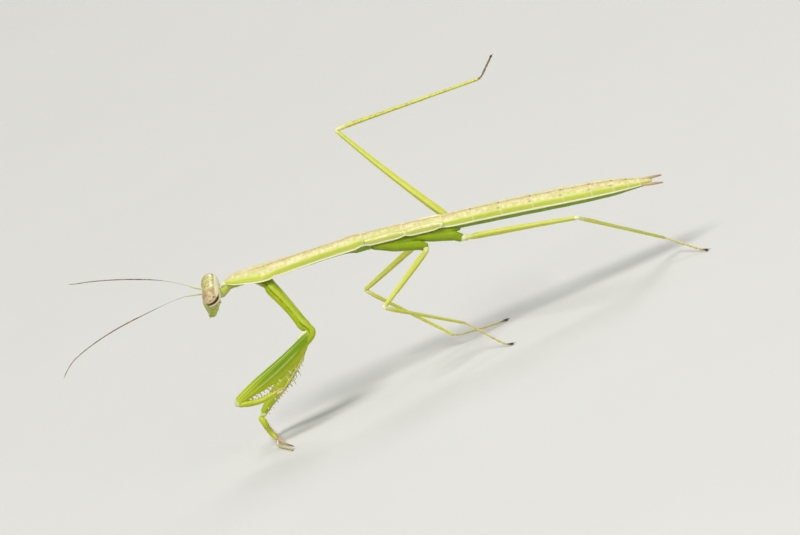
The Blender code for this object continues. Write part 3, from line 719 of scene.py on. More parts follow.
# Where the rings of the abdomen end, from shares of its length.
RING_ENDS = [ABDOMEN_START + (trunk.length - ABDOMEN_START) * share
             for share in (0.145, 0.28, 0.43, 0.575, 0.71, 0.815, 0.885, 0.94)]
PLATE_BORDERS = [WAIST, HIND_WAIST, ABDOMEN_START, *RING_ENDS]
PLATE_STEP = 0.055              # each plate of the back stands this far over the next
KEEL_PLACE = 0.5                # the keel lies halfway from the back's midline to the belly's
TRUNK_SIDES = 96
TRUNK_STEP = 0.09               # between rings; the smooth prothorax has wider ones
PROTHORAX_STEP = 0.22
FRONT_ROUNDING = 1.1
REAR_ROUNDING = 0.6
NARROW_BELLY = 0.5              # the prothorax's underside is this share of its width
NARROW_PLACE = 0.35             # where it has become so narrow, from the keel to the belly
BEAD_SIZE = 0.045               # how far the bead along the keel stands out
KEEL_CROWD = 0.0375             # the points of a ring are drawn this far towards the keel
CERCUS_BEADS = 9
CERCUS_HAIRS = 40
HAIR_TURN = 0.382               # of a full turn from one hair of the cercus to the next


def trunk_outline(v, width, rise, drop, narrow):
    """Cross-section: roofed back plate, keel with its bead, and the belly below it."""
    roof = np.clip(v / KEEL_PLACE, 0, 1) * math.pi / 2
    share = np.clip((v - KEEL_PLACE) / (1 - KEEL_PLACE), 0, 1)
    full = share * math.pi / 2
    inward = smoothstep(share, 0, NARROW_PLACE)
    trough = np.clip((share - NARROW_PLACE) / (1 - NARROW_PLACE), 0, 1) * math.pi / 2
    above = v <= KEEL_PLACE
    inset = NARROW_BELLY * width
    x_narrow = np.where(share < NARROW_PLACE, width - (width - inset) * inward,
                        inset * np.cos(trough))
    y_narrow = -drop * (0.10 * np.minimum(share / NARROW_PLACE, 1) + 0.82 * np.sin(trough))
    x_full = (width - 0.08 * smoothstep(share, 0, 0.1)) * np.cos(full) ** 0.85
    y_full = -drop * np.sin(full)
    x_low = x_narrow * narrow + x_full * (1 - narrow)
    y_low = y_narrow * narrow + y_full * (1 - narrow)
    x = np.where(above, width * np.sin(roof) ** 0.92, x_low)
    y = np.where(above, rise * np.cos(roof) ** 0.97, y_low)
    return x + BEAD_SIZE * hump(v, BEAD_PLACE, 0.018), y


def plate_lift(s):
    """Each plate of the back swells to its rear rim, then steps down to the next."""
    lift = np.zeros_like(s)
    previous = 0.0
    for border in PLATE_BORDERS:
        inside = (s > previous) & (s <= border)
        reach = (s - previous) / (border - previous)
        swell = 0.35 * smoothstep(reach, 0.0, 0.12) + 0.65 * reach ** 4
        lift = np.where(inside, PLATE_STEP * swell, lift)
        previous = border
    return lift


def back_relief(s, v):
    """Height of the ridges, grooves and dents of the back, in millimetres."""
    on_back = smoothstep(v, 0.46, 0.40)
    neck = smoothstep(s, NECK_END + 0.3, NECK_END - 0.3)
    body = smoothstep(s, NECK_END, NECK_END + 0.8)
    groove = hump(s + 1.4 * v, NECK_END + 0.1, 0.16) * 0.09 * smoothstep(v, 0.44, 0.30)
    front_furrow = hump(v, 0.12 + 0.035 * s, 0.03) * smoothstep(s, 0.8, 1.6) * neck * 0.06
    front_dent = hump(v, 0.34, 0.035) * smoothstep(s, 1.0, 2.0) * neck * 0.04
    median = hump(v, 0.0, 0.022) * (0.05 * body - 0.04 * neck * smoothstep(s, 0.5, 1.2))
    flank = hump(v, 0.30, 0.05) * 0.022 * body
    return (median + flank - groove - front_furrow - front_dent) * on_back


def back_dots(s, v):
    """Dark dots at the rear of each ring of the abdomen, on and beside the midline."""
    mask = np.zeros(np.broadcast(s, v).shape)
    for rear in RING_ENDS[:7]:
        mask = np.maximum(mask, 0.9 * hump(s, rear - 0.12, 0.12) * hump(v, 0.0, 0.04))
    for rear in RING_ENDS[1:6]:
        mask = np.maximum(mask, 0.6 * hump(s, rear - 0.3, 0.2) * hump(v, 0.2, 0.03))
    return mask


def plate_rims(s):
    """1 on the fine pale line along the rear rim of each plate, 0 elsewhere."""
    return np.max([hump(s, border - 0.05, 0.07) for border in PLATE_BORDERS], axis=0)


def rounding(s, length):
    """How the trunk's size falls off within a length of one of its ends."""
    return np.sqrt(1 - (1 - np.clip(s / length, 0.02, 1)) ** 2)


def build_trunk(skin):
    s = np.concatenate((np.arange(0.02, NECK_END - 1, TRUNK_STEP),
                        np.arange(NECK_END - 1, WAIST - 1, PROTHORAX_STEP),
                        np.arange(WAIST - 1, trunk.length - 0.01, TRUNK_STEP)))
    points, _, side, back, width, rise, drop = trunk.read(s)
    s, width, rise, drop = (column[:, None] for column in (s, width, rise, drop))
    share = (np.arange(TRUNK_SIDES) + 0.5) / TRUNK_SIDES * 2 - 1
    # More points near the keel, where the surface turns sharply.
    signed = share - KEEL_CROWD * np.sin(4 * math.pi * share)
    v = np.abs(signed)[None, :]
    x, y = trunk_outline(v, width, rise, drop, smoothstep(s, WAIST - 0.6, WAIST - 2.2))
    lift = plate_lift(s) * smoothstep(v, 0.53, 0.50) + back_relief(s, v)
    scale = (1 + lift / np.maximum(np.hypot(x, y), 0.2)) * (
        rounding(s, FRONT_ROUNDING) * rounding(trunk.length - s, REAR_ROUNDING))
    skin.rings(loft(points, side, back, x * scale * np.sign(signed), y * scale), "trunk_shell",
               along=s / trunk.length, around=v, level=back_dots(s, v), rim=plate_rims(s))


def beaded(depth, count):
    """A chain of swollen joints."""
    return lambda t, a: 1 + depth * np.abs(np.sin(math.pi * count * t)) + 0 * a


def build_cerci(skin):
    for side_name in SIDES:
        line = Line(f"cercus_{side_name}", middle_of("abdomen"), UP, 6)
        size = ((0, 0.13), (0.4, 0.16), (1, 0.07))
        tip = line.last + line.axis * 0.3
        tube(skin, [line.first - line.axis * 0.6, *line.centres[1:], tip], UP, size, "cercus_skin",
             sides=12, steps=60, ends=(0.05, 0.05), shape=beaded(0.14, CERCUS_BEADS))
        for k in range(CERCUS_HAIRS):
            t = 0.3 + 0.68 * (k % 10) / 9
            turn = 2 * math.pi * (k * HAIR_TURN)
            out = unit(np.cross(line.axis, UP)) * math.cos(turn) + UP * math.sin(turn)
            root = line.first + (line.last - line.first) * t + out * 0.07
            skin.bristle(root, out + line.axis * 0.8, 0.22, 0.012, "hair")


# ---------------------------------------------------------------- head

class Head:
    """Directions and middle of the head, from its solids."""

    def __init__(self):
        self.side = unit(middle_of("eye_left") - middle_of("eye_right"))
        self.middle = (middle_of("eye_left") + middle_of("eye_right")) / 2
        down = middle_of("mouthparts") - self.middle
        self.down = unit(down - self.side * (down @ self.side))
        self.ahead = np.cross(self.side, self.down)
        if self.ahead[0] > 0:
            self.ahead = -self.ahead

    def place(self, ahead, side, down, hand=1):
        return self.middle + self.ahead * ahead + self.side * (side * hand) + self.down * down


head = Head()
# (down from the eyes' line, half width, how far it reaches forward, and backward)
FACE = ((-1.02, 0.80, 0.05, 0.08), (-0.94, 1.00, 0.24, 0.26), (-0.55, 1.28, 0.62, 0.64),
        (0.0, 1.38, 0.80, 0.82), (0.6, 1.42, 0.90, 0.90), (1.1, 1.40, 1.06, 0.90),
        (1.6, 1.22, 1.10, 0.78), (2.1, 0.94, 1.00, 0.58), (2.6, 0.70, 0.88, 0.40),
        (2.95, 0.54, 0.80, 0.20), (3.25, 0.38, 0.68, 0.02), (3.42, 0.18, 0.50, -0.16))
FACE_SIDES = 56
FACE_STEPS = 64
# Shallow steps of the face plate, its lower border and the lip: height, and where from and to.
FACE_PLATES = ((0.06, 0.35, 0.5), (-0.05, 1.42, 1.5), (-0.04, 2.1, 2.18))
FACE_DOTS = ((1.55, 0.62), (2.05, 0.62), (2.3, 0.40))     # down, to the side
# Forward, to the side, and down from the middle between the eyes.
FEELER_SOCKET = (0.62, 0.50, 0.02)
SIMPLE_EYES = ((0.60, 0.0, -0.62), (0.62, 0.2, -0.42), (0.62, -0.2, -0.42))
PALP = ((0.40, 0.45, 2.15), (0.64, 0.60, 2.48), (0.76, 0.54, 2.90), (0.60, 0.44, 3.28))
CHEEK = (-0.66, 1.40, 0.93)     # a pale bump behind and below each eye
NECK_RINGS = 7
EYE_SETTLE = {"left": (0.0, 0.28), "right": (0.14, 0.14)}     # lower, and nearer to the middle
EYE_STEPS = 48
EYE_SIDES = 60
EYE_REACH = 1.15                # how far each eye runs in over the head
EYE_BULGE = 0.50                # fraction of the way out where the eye is largest
EYE_ROOT = 0.90                 # its size where it meets the head
# Weights of forward, down and outward in the two directions that the eye's bands follow.
BAND_ACROSS = (-0.535, 0.729, 0.425)
BAND_ALONG = (0.844, 0.447, 0.296)
BAND_CURVE = 0.39
# EYE_SPOT is where the painted pseudopupil, a fixed dark dot, sits on each eye
EYE_SPOT = (0.03, -0.28)        # across and along the bands
FEELER_BEADS = 90


def build_head(skin):
    rows = np.array(FACE)
    down = np.linspace(rows[0, 0], rows[-1, 0], FACE_STEPS)
    width, front, behind = (table(FACE, down, k)[:, None] for k in (1, 2, 3))
    turn, around = circle(FACE_SIDES)
    sine, cosine = np.sin(turn)[None, :], np.cos(turn)[None, :]
    x = width * np.sign(sine) * np.abs(sine) ** 0.85
    y = (front - behind) / 2 + (front + behind) / 2 * np.sign(cosine) * np.abs(cosine) ** 0.8
    plate = sum(height * smoothstep(down, low, high) for height, low, high in FACE_PLATES)
    y = y + (cosine > 0.35) * np.clip(1 - np.abs(sine) * 1.3, 0, 1) * plate[:, None]
    rings = loft(head.middle + np.outer(down, head.down), head.side, head.ahead, x, y)
    dots = np.zeros((FACE_STEPS, FACE_SIDES))
    for dot_down, dot_side in FACE_DOTS:
        near = ((down[:, None] - dot_down) / 0.09) ** 2 + ((np.abs(x) - dot_side) / 0.10) ** 2
        dots = np.maximum(dots, np.exp(-near) * (cosine > -0.1))
    skin.rings(rings, "head_shell", along=((down - down[0]) / (down[-1] - down[0]))[:, None],
               around=around, level=dots)
    for hand in SIDES.values():
        build_palps(skin, hand)
        root = head.place(*FEELER_SOCKET, hand)
        knob(skin, root, root + head.ahead * 0.48 + head.side * (hand * 0.04),
             ((0, 0.16), (0.6, 0.17), (1, 0.12)), 14, 8, (0.05, 0.08))
    for place in SIMPLE_EYES:
        root = head.place(*place)
        knob(skin, root - head.ahead * 0.1, root + head.ahead * 0.12, ((0, 0.07), (1, 0.06)),
             12, 6, (0.02, 0.06))
    build_neck(skin)


def knob(skin, start, end, size, sides, steps, ends):
    """Short soft piece of the head."""
    tube(skin, [start, end], head.side, size, "joint_skin", sides, steps, ends)


def build_palps(skin, hand):
    """The jointed feelers beside the mouth."""
    points = [head.place(*place, hand) for place in PALP]
    for i, (start, end) in enumerate(pairwise(points)):
        radius = 0.095 - 0.012 * i
        knob(skin, start, end, ((0, radius * 0.8), (0.6, radius), (1, radius * 0.75)), 10, 8,
             (0.04, 0.05))


def build_neck(skin):
    """Soft ringed neck from the back of the head to the underside of the prothorax."""
    path = [head.place(-0.35, 0, 0.55), head.place(-0.95, 0, 0.62), trunk.place(0.5, 0, -0.42),
            trunk.place(1.7, 0, -0.36), trunk.place(3.0, 0, -0.30)]
    tube(skin, path, UP, ((0, 0.62), (0.3, 0.50), (0.6, 0.46), (1, 0.28)), "neck_skin",
         sides=28, steps=50, ends=(0.15, 0.3), wide=((0, 0.60), (0.3, 0.52), (0.6, 0.56), (1, 0.5)),
         shape=lambda t, a: 1 + 0.025 * np.sin(2 * math.pi * NECK_RINGS * t) + 0 * a)
    root = trunk.place(-0.50, 0.05, -0.10)
    tube(skin, [root, root + trunk.read(0)[1][0] * 0.9], UP, ((0, 0.22), (0.5, 0.26), (1, 0.2)),
         "joint_skin", steps=12, ends=(0.22, 0.22), wide=((0, 0.3), (1, 0.34)))
    for hand in SIDES.values():
        bump = head.place(*CHEEK, hand)
        knob(skin, bump, bump - head.ahead * 0.30, ((0, 0.13), (1, 0.13)), 16, 10, (0.12, 0.12))


def build_eye(side_name, hand):
    """Tall oval eye, set into the head along its inner rim."""
    points = SHAPES[f"eye_{side_name}"][0] - head.middle
    out, ahead, down = (points @ head.side) * hand, points @ head.ahead, points @ head.down
    lower, nearer = EYE_SETTLE[side_name]
    inner = out.min() - EYE_REACH - nearer
    outer = out.max() + 0.02 - nearer
    (long, mid_ahead), (tall, mid_down), (_, mid_out) = span(ahead), span(down), span(out)
    t = np.sin(np.linspace(0.0, math.pi / 2, EYE_STEPS))[:, None] * 0.9995
    scale = np.where(t < EYE_BULGE, EYE_ROOT + (1 - EYE_ROOT) * np.sin(math.pi / 2 * t / EYE_BULGE),
                     np.sqrt(np.clip(1 - ((t - EYE_BULGE) / (1 - EYE_BULGE)) ** 2, 0, 1)))
    turn = circle(EYE_SIDES)[0]
    f = long * scale * np.sin(turn)
    d = tall * scale * np.cos(turn)
    o = inner + (outer - inner) * t
    rings = loft(head.middle + hand * o * head.side, head.ahead, head.down, mid_ahead + f,
                 mid_down + lower + d)
    beyond = o - mid_out + nearer
    straight = BAND_ACROSS[0] * f + BAND_ACROSS[1] * d + BAND_ACROSS[2] * beyond
    lengthwise = BAND_ALONG[0] * f + BAND_ALONG[1] * d + BAND_ALONG[2] * beyond
    spot = np.hypot(straight - EYE_SPOT[0], lengthwise - EYE_SPOT[1]) + (beyond < 0)
    eye = Skin(["eye_facets"], ("curved", "straight", "lengthwise", "forward", "out", "spot"))
    eye.rings(rings, "eye_facets", curved=straight + BAND_CURVE * lengthwise ** 2,
              straight=straight, lengthwise=lengthwise, forward=f, out=t, spot=spot)
    eye.build(f"eye_{side_name}_facets", (f"eye_{side_name}",))


def build_antenna(side_name):
    """Thread of many short joints, thick and pale at its root and hair-thin at its tip."""
    line = Line(f"antenna_{side_name}", head.middle, UP, count=20)
    feeler = Skin(["feeler_skin"])
    size = ((0, 0.14), (0.05, 0.13), (0.09, 0.085), (0.5, 0.065), (1, 0.04))
    tube(feeler, [line.first - line.axis * 0.15, *line.centres], UP, size, "feeler_skin",
         sides=8, steps=FEELER_BEADS * 5, ends=(0.05, 0.05), shape=beaded(0.10, FEELER_BEADS))
    feeler.build(f"feeler_{side_name}", (f"antenna_{side_name}",))


# ---------------------------------------------------------------- legs

def ridged(depth, count=4):
    """Cross-section with shallow lengthwise ridges."""
    return lambda t, a: 1 + depth * np.cos(count * a) * smoothstep(t, 0.02, 0.12)


def scaled(sizes, factor):
    """Half-size table from a node's sections, slimmed by a table of factors."""
    t = np.linspace(0, 1, len(sizes))
    return tuple(zip(t, np.asarray(sizes) * table(factor, t)))


WIDE_END = ((0, 0.98), (0.7, 1.0), (0.9, 1.26), (1, 1.45))
SLIM_FEMUR = ((0, 0.96), (0.5, 0.97), (1, 0.92))
SLIM_TIBIA = ((0, 0.92), (0.5, 0.78), (1, 0.70))
TARSUS_JOINTS = (0.0, 0.42, 0.60, 0.72, 0.81, 1.0)
TARSUS_HALF = 0.13
TOE_CLEARANCE = 0.03            # above the floor
CLAW_LENGTH, CLAW_RADIUS = 0.42, 0.05
CLAW_SPREAD = 0.55              # of the way ahead, to each side
BRISTLE_RADIUS = 0.008
TIBIA_BRISTLES, FEMUR_BRISTLES = 90, 60
MOTTLING = 0.35                 # of the tibiae; the lifted one is fully mottled
# The bulge over a coxa: along the trunk from the coxa's root, out and down from its middle line.
BULGE = ((-2.2, 0.30, 0.20), (-1.0, 0.46, 0.46), (0.6, 0.56, 0.62), (2.4, 0.62, 0.66),
         (3.6, 0.58, 0.58))
COXA_RAISED = 0.34              # the coxae lie this far above their solids' middle lines


def build_foot(skin, claws, line, start, on_floor, dark=0.0, horn="claw_horn"):
    """Five tarsal joints, each swelling to its end, and a pair of claws."""
    reach = 0.75 if horn == "pink_horn" else 1.0
    path = np.array([start, *line.centres[1:]])
    if on_floor:
        drop = max(line.centres[:, 2].min() - TARSUS_HALF, 0)
        t = lengths_along(path) / lengths_along(path)[-1]
        path[:, 2] = np.maximum(path[:, 2] - drop * smoothstep(t, 0.0, 0.75), TARSUS_HALF + TOE_CLEARANCE)
    at = lengths_along(path)
    size = ((0, TARSUS_HALF * 0.70), (0.55, TARSUS_HALF * 0.80), (0.9, TARSUS_HALF),
            (1, TARSUS_HALF * 0.85))
    for low, high in pairwise(TARSUS_JOINTS):
        where = np.linspace(at[-1] * low, at[-1] * min(high + 0.02, 1), 6)
        tube(skin, hermite(at, path, where), UP, size, "foot_shell", sides=12, steps=7,
             ends=(0.05, 0.07), first=low * reach, last=high * reach, level=dark)
    tip = path[-1]
    way = unit(path[-1] - path[-2])
    if on_floor:
        way[2] = max(way[2], 0.0)
    across = unit(np.cross(UP, way))
    above = np.cross(way, across)
    for hand in (-1, 1):
        root = tip - way * 0.10 + across * (0.05 * hand)
        cone(claws, root, way + across * (CLAW_SPREAD * hand) + above * 0.25, CLAW_LENGTH,
             CLAW_RADIUS, horn, above * -0.3)


def add_bristles(skin, start, end, radius, count, rng, length=0.13):
    """Short hairs scattered along a leg, leaning to its end."""
    way = unit(end - start)
    side = unit(np.cross(way, (0.2, 0.5, 0.8)))
    other = np.cross(way, side)
    for _ in range(count):
        t, turn = rng.random(), rng.random() * 2 * math.pi
        out = side * math.cos(turn) + other * math.sin(turn)
        skin.bristle(start + (end - start) * t + out * radius * 0.9, out + way * 1.3, length,
                     BRISTLE_RADIUS, "hair")


def build_walking_leg(skin, claws, pair, side_name, rng):
    """Bulge and coxa, trochanter, femur, tibia and foot of a middle or hind leg."""
    thorax = middle_of("mesothorax")
    coxa_name, femur_name, tibia_name, tarsus_name = (
        f"{pair}_{part}_{side_name}" for part in ("coxa", "femur", "tibia", "tarsus"))
    lifted = pair == "hind" and side_name == "right"
    femur = Line(femur_name, Line(coxa_name, thorax, UP).last, UP)
    up = unit(femur.axis - Line(tibia_name, femur.last, UP).axis)
    coxa = Line(coxa_name, thorax, up)
    femur = Line(femur_name, coxa.last, up, 11)
    tibia = Line(tibia_name, femur.last, up)
    foot = Line(tarsus_name, tibia.last, UP, 11)
    build_coxa(skin, coxa)
    trochanter = [coxa.last - coxa.axis * 0.1, (coxa.last + femur.first) / 2,
                  femur.first + femur.axis * 0.25]
    size = ((0, 0.28), (0.5, 0.33), (0.85, 0.33), (1, 0.28))
    tube(skin, trochanter, up, size, "blade_skin", steps=14, ends=(0.12, 0.12))
    knee = crossing(femur, tibia)
    tube(skin, [femur.first - femur.axis * 0.1, *femur.centres[1:-1], knee], up,
         scaled(femur.tall, SLIM_FEMUR), "leg_shell", sides=24, steps=36, ends=(0.12, 0.22),
         shape=ridged(0.05), wide=scaled(femur.wide, SLIM_FEMUR))
    tube(skin, [knee - femur.axis * 0.08, *tibia.centres[1:]], up,
         scaled(tibia.tall, SLIM_TIBIA), "leg_shell", sides=18, steps=40, ends=(0.12, 0.1),
         shape=ridged(0.05), wide=scaled(tibia.wide, SLIM_TIBIA),
         level=1.0 if lifted else MOTTLING, last=0.9)
    add_bristles(skin, tibia.first, tibia.last, min(tibia.wide) * 0.75, TIBIA_BRISTLES, rng)
    for hand in (-1, 1):
        root = tibia.last - tibia.axis * 0.1 - up * 0.12 + np.cross(up, tibia.axis) * (0.1 * hand)
        cone(skin, root, tibia.axis - up * 0.5, CLAW_LENGTH, CLAW_RADIUS, "spine_horn")
    build_foot(skin, claws, foot, tibia.last, not lifted, 0.8 if lifted else 0.0)


def build_coxa(skin, coxa):
    """Stout first joint of a walking leg, with the bulge of the thorax that it hangs from."""
    s = trunk.nearest(coxa.first[None, :])[0]
    offset = coxa.first - trunk.place(s, 0, 0)
    side, back = (part[0] for part in trunk.read(s)[2:4])
    hand = math.copysign(1.0, offset @ side)
    bulge = [trunk.place(s + along, out * hand, -down) for along, out, down in BULGE]
    tube(skin, bulge, UP, ((0, 0.36), (0.35, 0.56), (0.7, 0.54), (1, 0.34)), "under_shell",
         sides=28, steps=22, ends=(0.4, 0.4))
    raised = back * COXA_RAISED
    path = [trunk.place(s - 1.9, 0.50 * hand, -0.40), trunk.place(s - 0.5, 0.70 * hand, -0.62),
            *(centre + raised for centre in coxa.centres[2:-1]), coxa.last + raised * 0.4,
            coxa.last + coxa.axis * 0.4]
    tube(skin, path, back, ((0, 0.40), (0.3, 0.60), (0.6, 0.58), (0.88, 0.54), (1, 0.46)),
         "under_shell", sides=32, ends=(0.45, 0.22), shape=ridged(0.02),
         wide=((0, 0.40), (0.3, 0.52), (0.7, 0.48), (0.92, 0.42), (1, 0.36)))


# Fore femur outline: (fraction of its length, above the line between its joints, below it,
# half width).
FORE_FEMUR = ((0.0, 0.36, 0.50, 0.34), (0.05, 0.43, 0.80, 0.42), (0.10, 0.44, 0.90, 0.45),
              (0.15, 0.44, 1.02, 0.46), (0.22, 0.44, 1.28, 0.48), (0.40, 0.48, 1.48, 0.53),
              (0.58, 0.59, 1.36, 0.51), (0.72, 0.68, 1.02, 0.46), (0.85, 0.68, 0.64, 0.40),
              (0.94, 0.64, 0.48, 0.36), (1.0, 0.50, 0.38, 0.30))
FORE_FEMUR_SIDES = 40
FORE_FEMUR_STEPS = 80
EDGE_PLACE = 0.86               # the spined edges, from 0 on top to 1 in the groove below
# Spines: (start and end along the femur, number, longest, shortest).
FEMUR_SPINES = {
    "left": {"inner": (0.34, 0.86, 13, 0.62, 0.36), "outer": (0.40, 0.80, 4, 0.56, 0.46),
             "long": (0.34, 0.46, 3, 0.90, 0.80)},
    "right": {"inner": (0.30, 0.95, 17, 0.40, 0.26), "outer": (0.50, 0.90, 4, 0.50, 0.40),
              "long": (0.36, 0.52, 4, 1.30, 1.0)},
}
FORE_TIBIA = ((0.0, 0.26), (0.12, 0.35), (0.45, 0.33), (0.85, 0.29), (1.0, 0.20))
# How far the shin is moved towards the femur at its start, middle and end: it is bowed.
SHIN_BOW = {"left": (0.48, -0.02, 0.20), "right": (0.0, -0.22, -0.12)}
SHIN_LENGTH = 4.6
CLAW_STRETCH = {"left": 0.85, "right": 1.9}     # length of the claw against its solid's
TIBIA_SPINES = 11               # in each of two rows
SPINE_RADIUS = {"femur": 0.10, "tibia": 0.05}
SPINE_SUNK = 0.06               # how deep the femur's spines are rooted


def build_foreleg(skin, spines, claws, side_name, rng):
    """Raptorial leg: coxa, trochanter with its blade, spined femur, shin, claw and foot."""
    chest = middle_of("prothorax")
    coxa = Line(f"fore_coxa_{side_name}", chest, UP)
    femur_axis = Line(f"fore_femur_{side_name}", coxa.last, UP).axis
    tibia_axis = Line(f"fore_tibia_{side_name}", coxa.last + femur_axis * 12, UP,
                      reach=SHIN_LENGTH * 0.8).axis
    below = unit(tibia_axis - femur_axis * (tibia_axis @ femur_axis))
    coxa = Line(f"fore_coxa_{side_name}", chest, femur_axis)
    tube(skin, [coxa.first - coxa.axis * 0.7, *coxa.centres[1:], coxa.last + coxa.axis * 0.5],
         femur_axis, scaled(coxa.tall, WIDE_END), "fore_coxa_shell", sides=32, steps=40,
         ends=(0.3, 0.22), shape=coxa_section, wide=scaled(coxa.wide, WIDE_END))
    # Soft fold in front of the coxa's root, where it hangs from the prothorax.
    forward = -trunk.axes[0]
    fold = route(coxa.first, (coxa.axis, forward), ((-0.75, 1.15), (-0.25, 0.7), (0.5, 0.28), (1.2, 0.1)))
    tube(skin, fold, forward, ((0, 0.12), (0.4, 0.26), (1, 0.12)), "neck_skin", steps=24,
         ends=(0.15, 0.2), wide=((0, 0.22), (0.5, 0.30), (1, 0.2)))
    start, end = femur_ends(f"fore_femur_{side_name}", coxa.last, femur_axis, below)
    way = unit(end - start)
    # the right femur gets painted light: a lighter green standing for the light on it
    build_fore_femur(skin, start, end, below, 1.0 if side_name == "right" else 0.0)
    trochanter = [*route(coxa.last, (coxa.axis, way), ((-0.3, 0), (0.42, 0.05))),
                  *route(start, (way, below), ((0.55, 0.28), (1.3, 0.40)))]
    tube(skin, trochanter, way, ((0, 0.46), (0.35, 0.54), (0.7, 0.48), (1, 0.26)),
         "fore_coxa_shell", sides=28, ends=(0.25, 0.3), first=0.9, last=0.7,
         wide=((0, 0.40), (0.35, 0.45), (0.7, 0.42), (1, 0.26)))
    # Pale blade along the top of the femur's root.
    blade = route(start, (way, below), ((-0.25, -0.30), (0.35, -0.46), (0.95, -0.50), (1.60, -0.40)))
    tube(skin, blade, -below, ((0, 0.14), (0.35, 0.21), (0.7, 0.17), (1, 0.07)), "blade_skin",
         ends=(0.18, 0.3), wide=((0, 0.14), (0.4, 0.16), (1, 0.08)))
    tibia = Line(f"fore_tibia_{side_name}", end, -below, 11, reach=SHIN_LENGTH)
    knee = [end - way * 0.45 + below * 0.05, end + below * 0.06, (end + tibia.first) / 2 + way * 0.05]
    tube(skin, knee, tibia.axis, ((0, 0.42), (0.5, 0.44), (1, 0.34)), "fore_femur_shell",
         sides=24, steps=16, ends=(0.3, 0.3), wide=((0, 0.30), (1, 0.28)), first=0.975,
         last=0.985, level=1.0)
    tip = SHAPES[f"fore_tibia_{side_name}"][0]
    tip = tip[np.linalg.norm(tip - tibia.first, axis=1).argmax()]
    build_fore_tibia(skin, spines, claws, tibia, tip, end, below, SHIN_BOW[side_name],
                     CLAW_STRETCH[side_name])
    build_femur_spines(spines, start, end, below, FEMUR_SPINES[side_name])
    foot = Line(f"fore_tarsus_{side_name}", tibia.last, UP, 11)
    shin_end = tibia.last - tibia.axis * 0.1
    tube(skin, [shin_end, foot.first + foot.axis * 0.2], UP, ((0, 0.14), (1, 0.12)), "joint_skin",
         sides=12, steps=8, ends=(0.08, 0.08))
    build_foot(skin, claws, foot, foot.first - foot.axis * 0.1, side_name == "right",
               horn="pink_horn")
    add_bristles(skin, start, end, 0.42, FEMUR_BRISTLES, rng, 0.10)


def coxa_section(t, a):
    """Three-edged prism, rounded."""
    return 1 + 0.07 * np.cos(3 * a) * smoothstep(t, 0.05, 0.2)


def femur_ends(name, near, way, below):
    """The two joints of the fore femur, from the middles of its flat ends."""
    points = SHAPES[name][0]
    along = points @ way
    ends = []
    for limit in (along.min(), along.max()):
        close = points[np.abs(along - limit) < 0.12]
        ends.append((close.min(0) + close.max(0)) / 2)
    ends.sort(key=lambda p: np.linalg.norm(p - near))
    return ends[0] + below * -0.1, ends[1] + below * 0.06


# light is how much painted light, as a lighter green, covers the femur
def build_fore_femur(skin, start, end, below, light):
    way = unit(end - start)
    side = unit(np.cross(below, way))
    where, scale = capped(np.linalg.norm(end - start) + 0.3, FORE_FEMUR_STEPS, (0.35, 0.35))
    t = where / where[-1]
    high, low, wide = (table(FORE_FEMUR, t, k) * scale for k in (1, 2, 3))
    turn, around = circle(FORE_FEMUR_SIDES)
    cosine, sine = np.cos(turn)[None, :], np.sin(turn)[None, :]
    y = np.where(cosine > 0, high[:, None], low[:, None]) * cosine
    # The lower side is a shallow groove between the two spined edges.
    y = y + 0.16 * hump(around, 1.0, 0.09)[None, :] * scale[:, None]
    ridges = sum(hump(around, place, 0.02) for place in (0.30, 0.44, 0.60, EDGE_PLACE))
    x = wide[:, None] * sine * (1 + 0.045 * ridges)[None, :]
    rings = loft(start + way * (where - 0.15)[:, None], side, -below, x, y)
    skin.rings(rings, "fore_femur_shell", along=t[:, None], around=around, level=light)


def femur_edge(start, end, below, t, edge):
    """A point on one of the femur's two spined lower edges."""
    across = unit(np.cross(below, end - start))
    low, wide = table(FORE_FEMUR, [t], 2)[0], table(FORE_FEMUR, [t], 3)[0]
    angle = EDGE_PLACE * math.pi
    return (start + (end - start) * t - below * (low * math.cos(angle))
            + across * (wide * math.sin(angle) * edge))


def build_femur_spines(spines, start, end, below, rows):
    """Alternating long and short spines on the inner edge, a few strong ones on the outer."""
    way = unit(end - start)
    across = unit(np.cross(below, way))
    for edge, (low, high, count, longest, shortest) in zip((1, -1, 0), rows.values()):
        for k in range(count):
            t = low + (high - low) * k / (count - 1)
            length = longest if k % 2 == 0 else shortest
            root = femur_edge(start, end, below, t, edge) - below * SPINE_SUNK
            cone(spines, root, below + across * (0.22 * edge) - way * 0.12, length + SPINE_SUNK,
                 SPINE_RADIUS["femur"], "spine_horn", way * 0.12)


def build_fore_tibia(skin, spines, claws, tibia, tip, knee, below, bow, stretch):
    """Shin with two rows of short spines and a strong curved claw at its end."""
    inward = unit(tibia.axis * (tibia.axis @ below) - below)
    shares = np.linspace(0, 1, len(tibia.centres))
    curve = tuple(zip((0.0, 0.5, 1.0), bow))
    moved = tibia.centres + inward * table(curve, shares)[:, None]
    towards_knee = unit(knee - moved[0]) * min(0.35, np.linalg.norm(knee - moved[0]) * 0.7)
    tube(skin, [moved[0] + towards_knee, *moved], inward, FORE_TIBIA, "fore_tibia_shell",
         sides=24, steps=60, ends=(0.25, 0.15), shape=ridged(0.04))
    ankle = moved[-1] - tibia.axis * 0.2
    reach = tip - ankle
    along = tibia.axis * (reach @ tibia.axis)
    cone(claws, ankle, along + (reach - along) * 0.3, np.linalg.norm(reach) * stretch, 0.20,
         "pink_horn", (reach - along) / np.linalg.norm(reach) * 0.35, sides=16)
    across = unit(np.cross(inward, tibia.axis))
    for t in np.linspace(0.16, 0.96, TIBIA_SPINES):
        straight = tibia.centres[0] + (tibia.centres[-1] - tibia.centres[0]) * t
        at = straight + inward * table(curve, [t])[0]
        for edge in (-1, 1):
            cone(spines, at + inward * 0.22 + across * (0.14 * edge),
                 inward + across * (0.3 * edge) + tibia.axis * 0.5, 0.20 + 0.13 * t,
                 SPINE_RADIUS["tibia"], "pink_horn")


# ---------------------------------------------------------------- wing pads

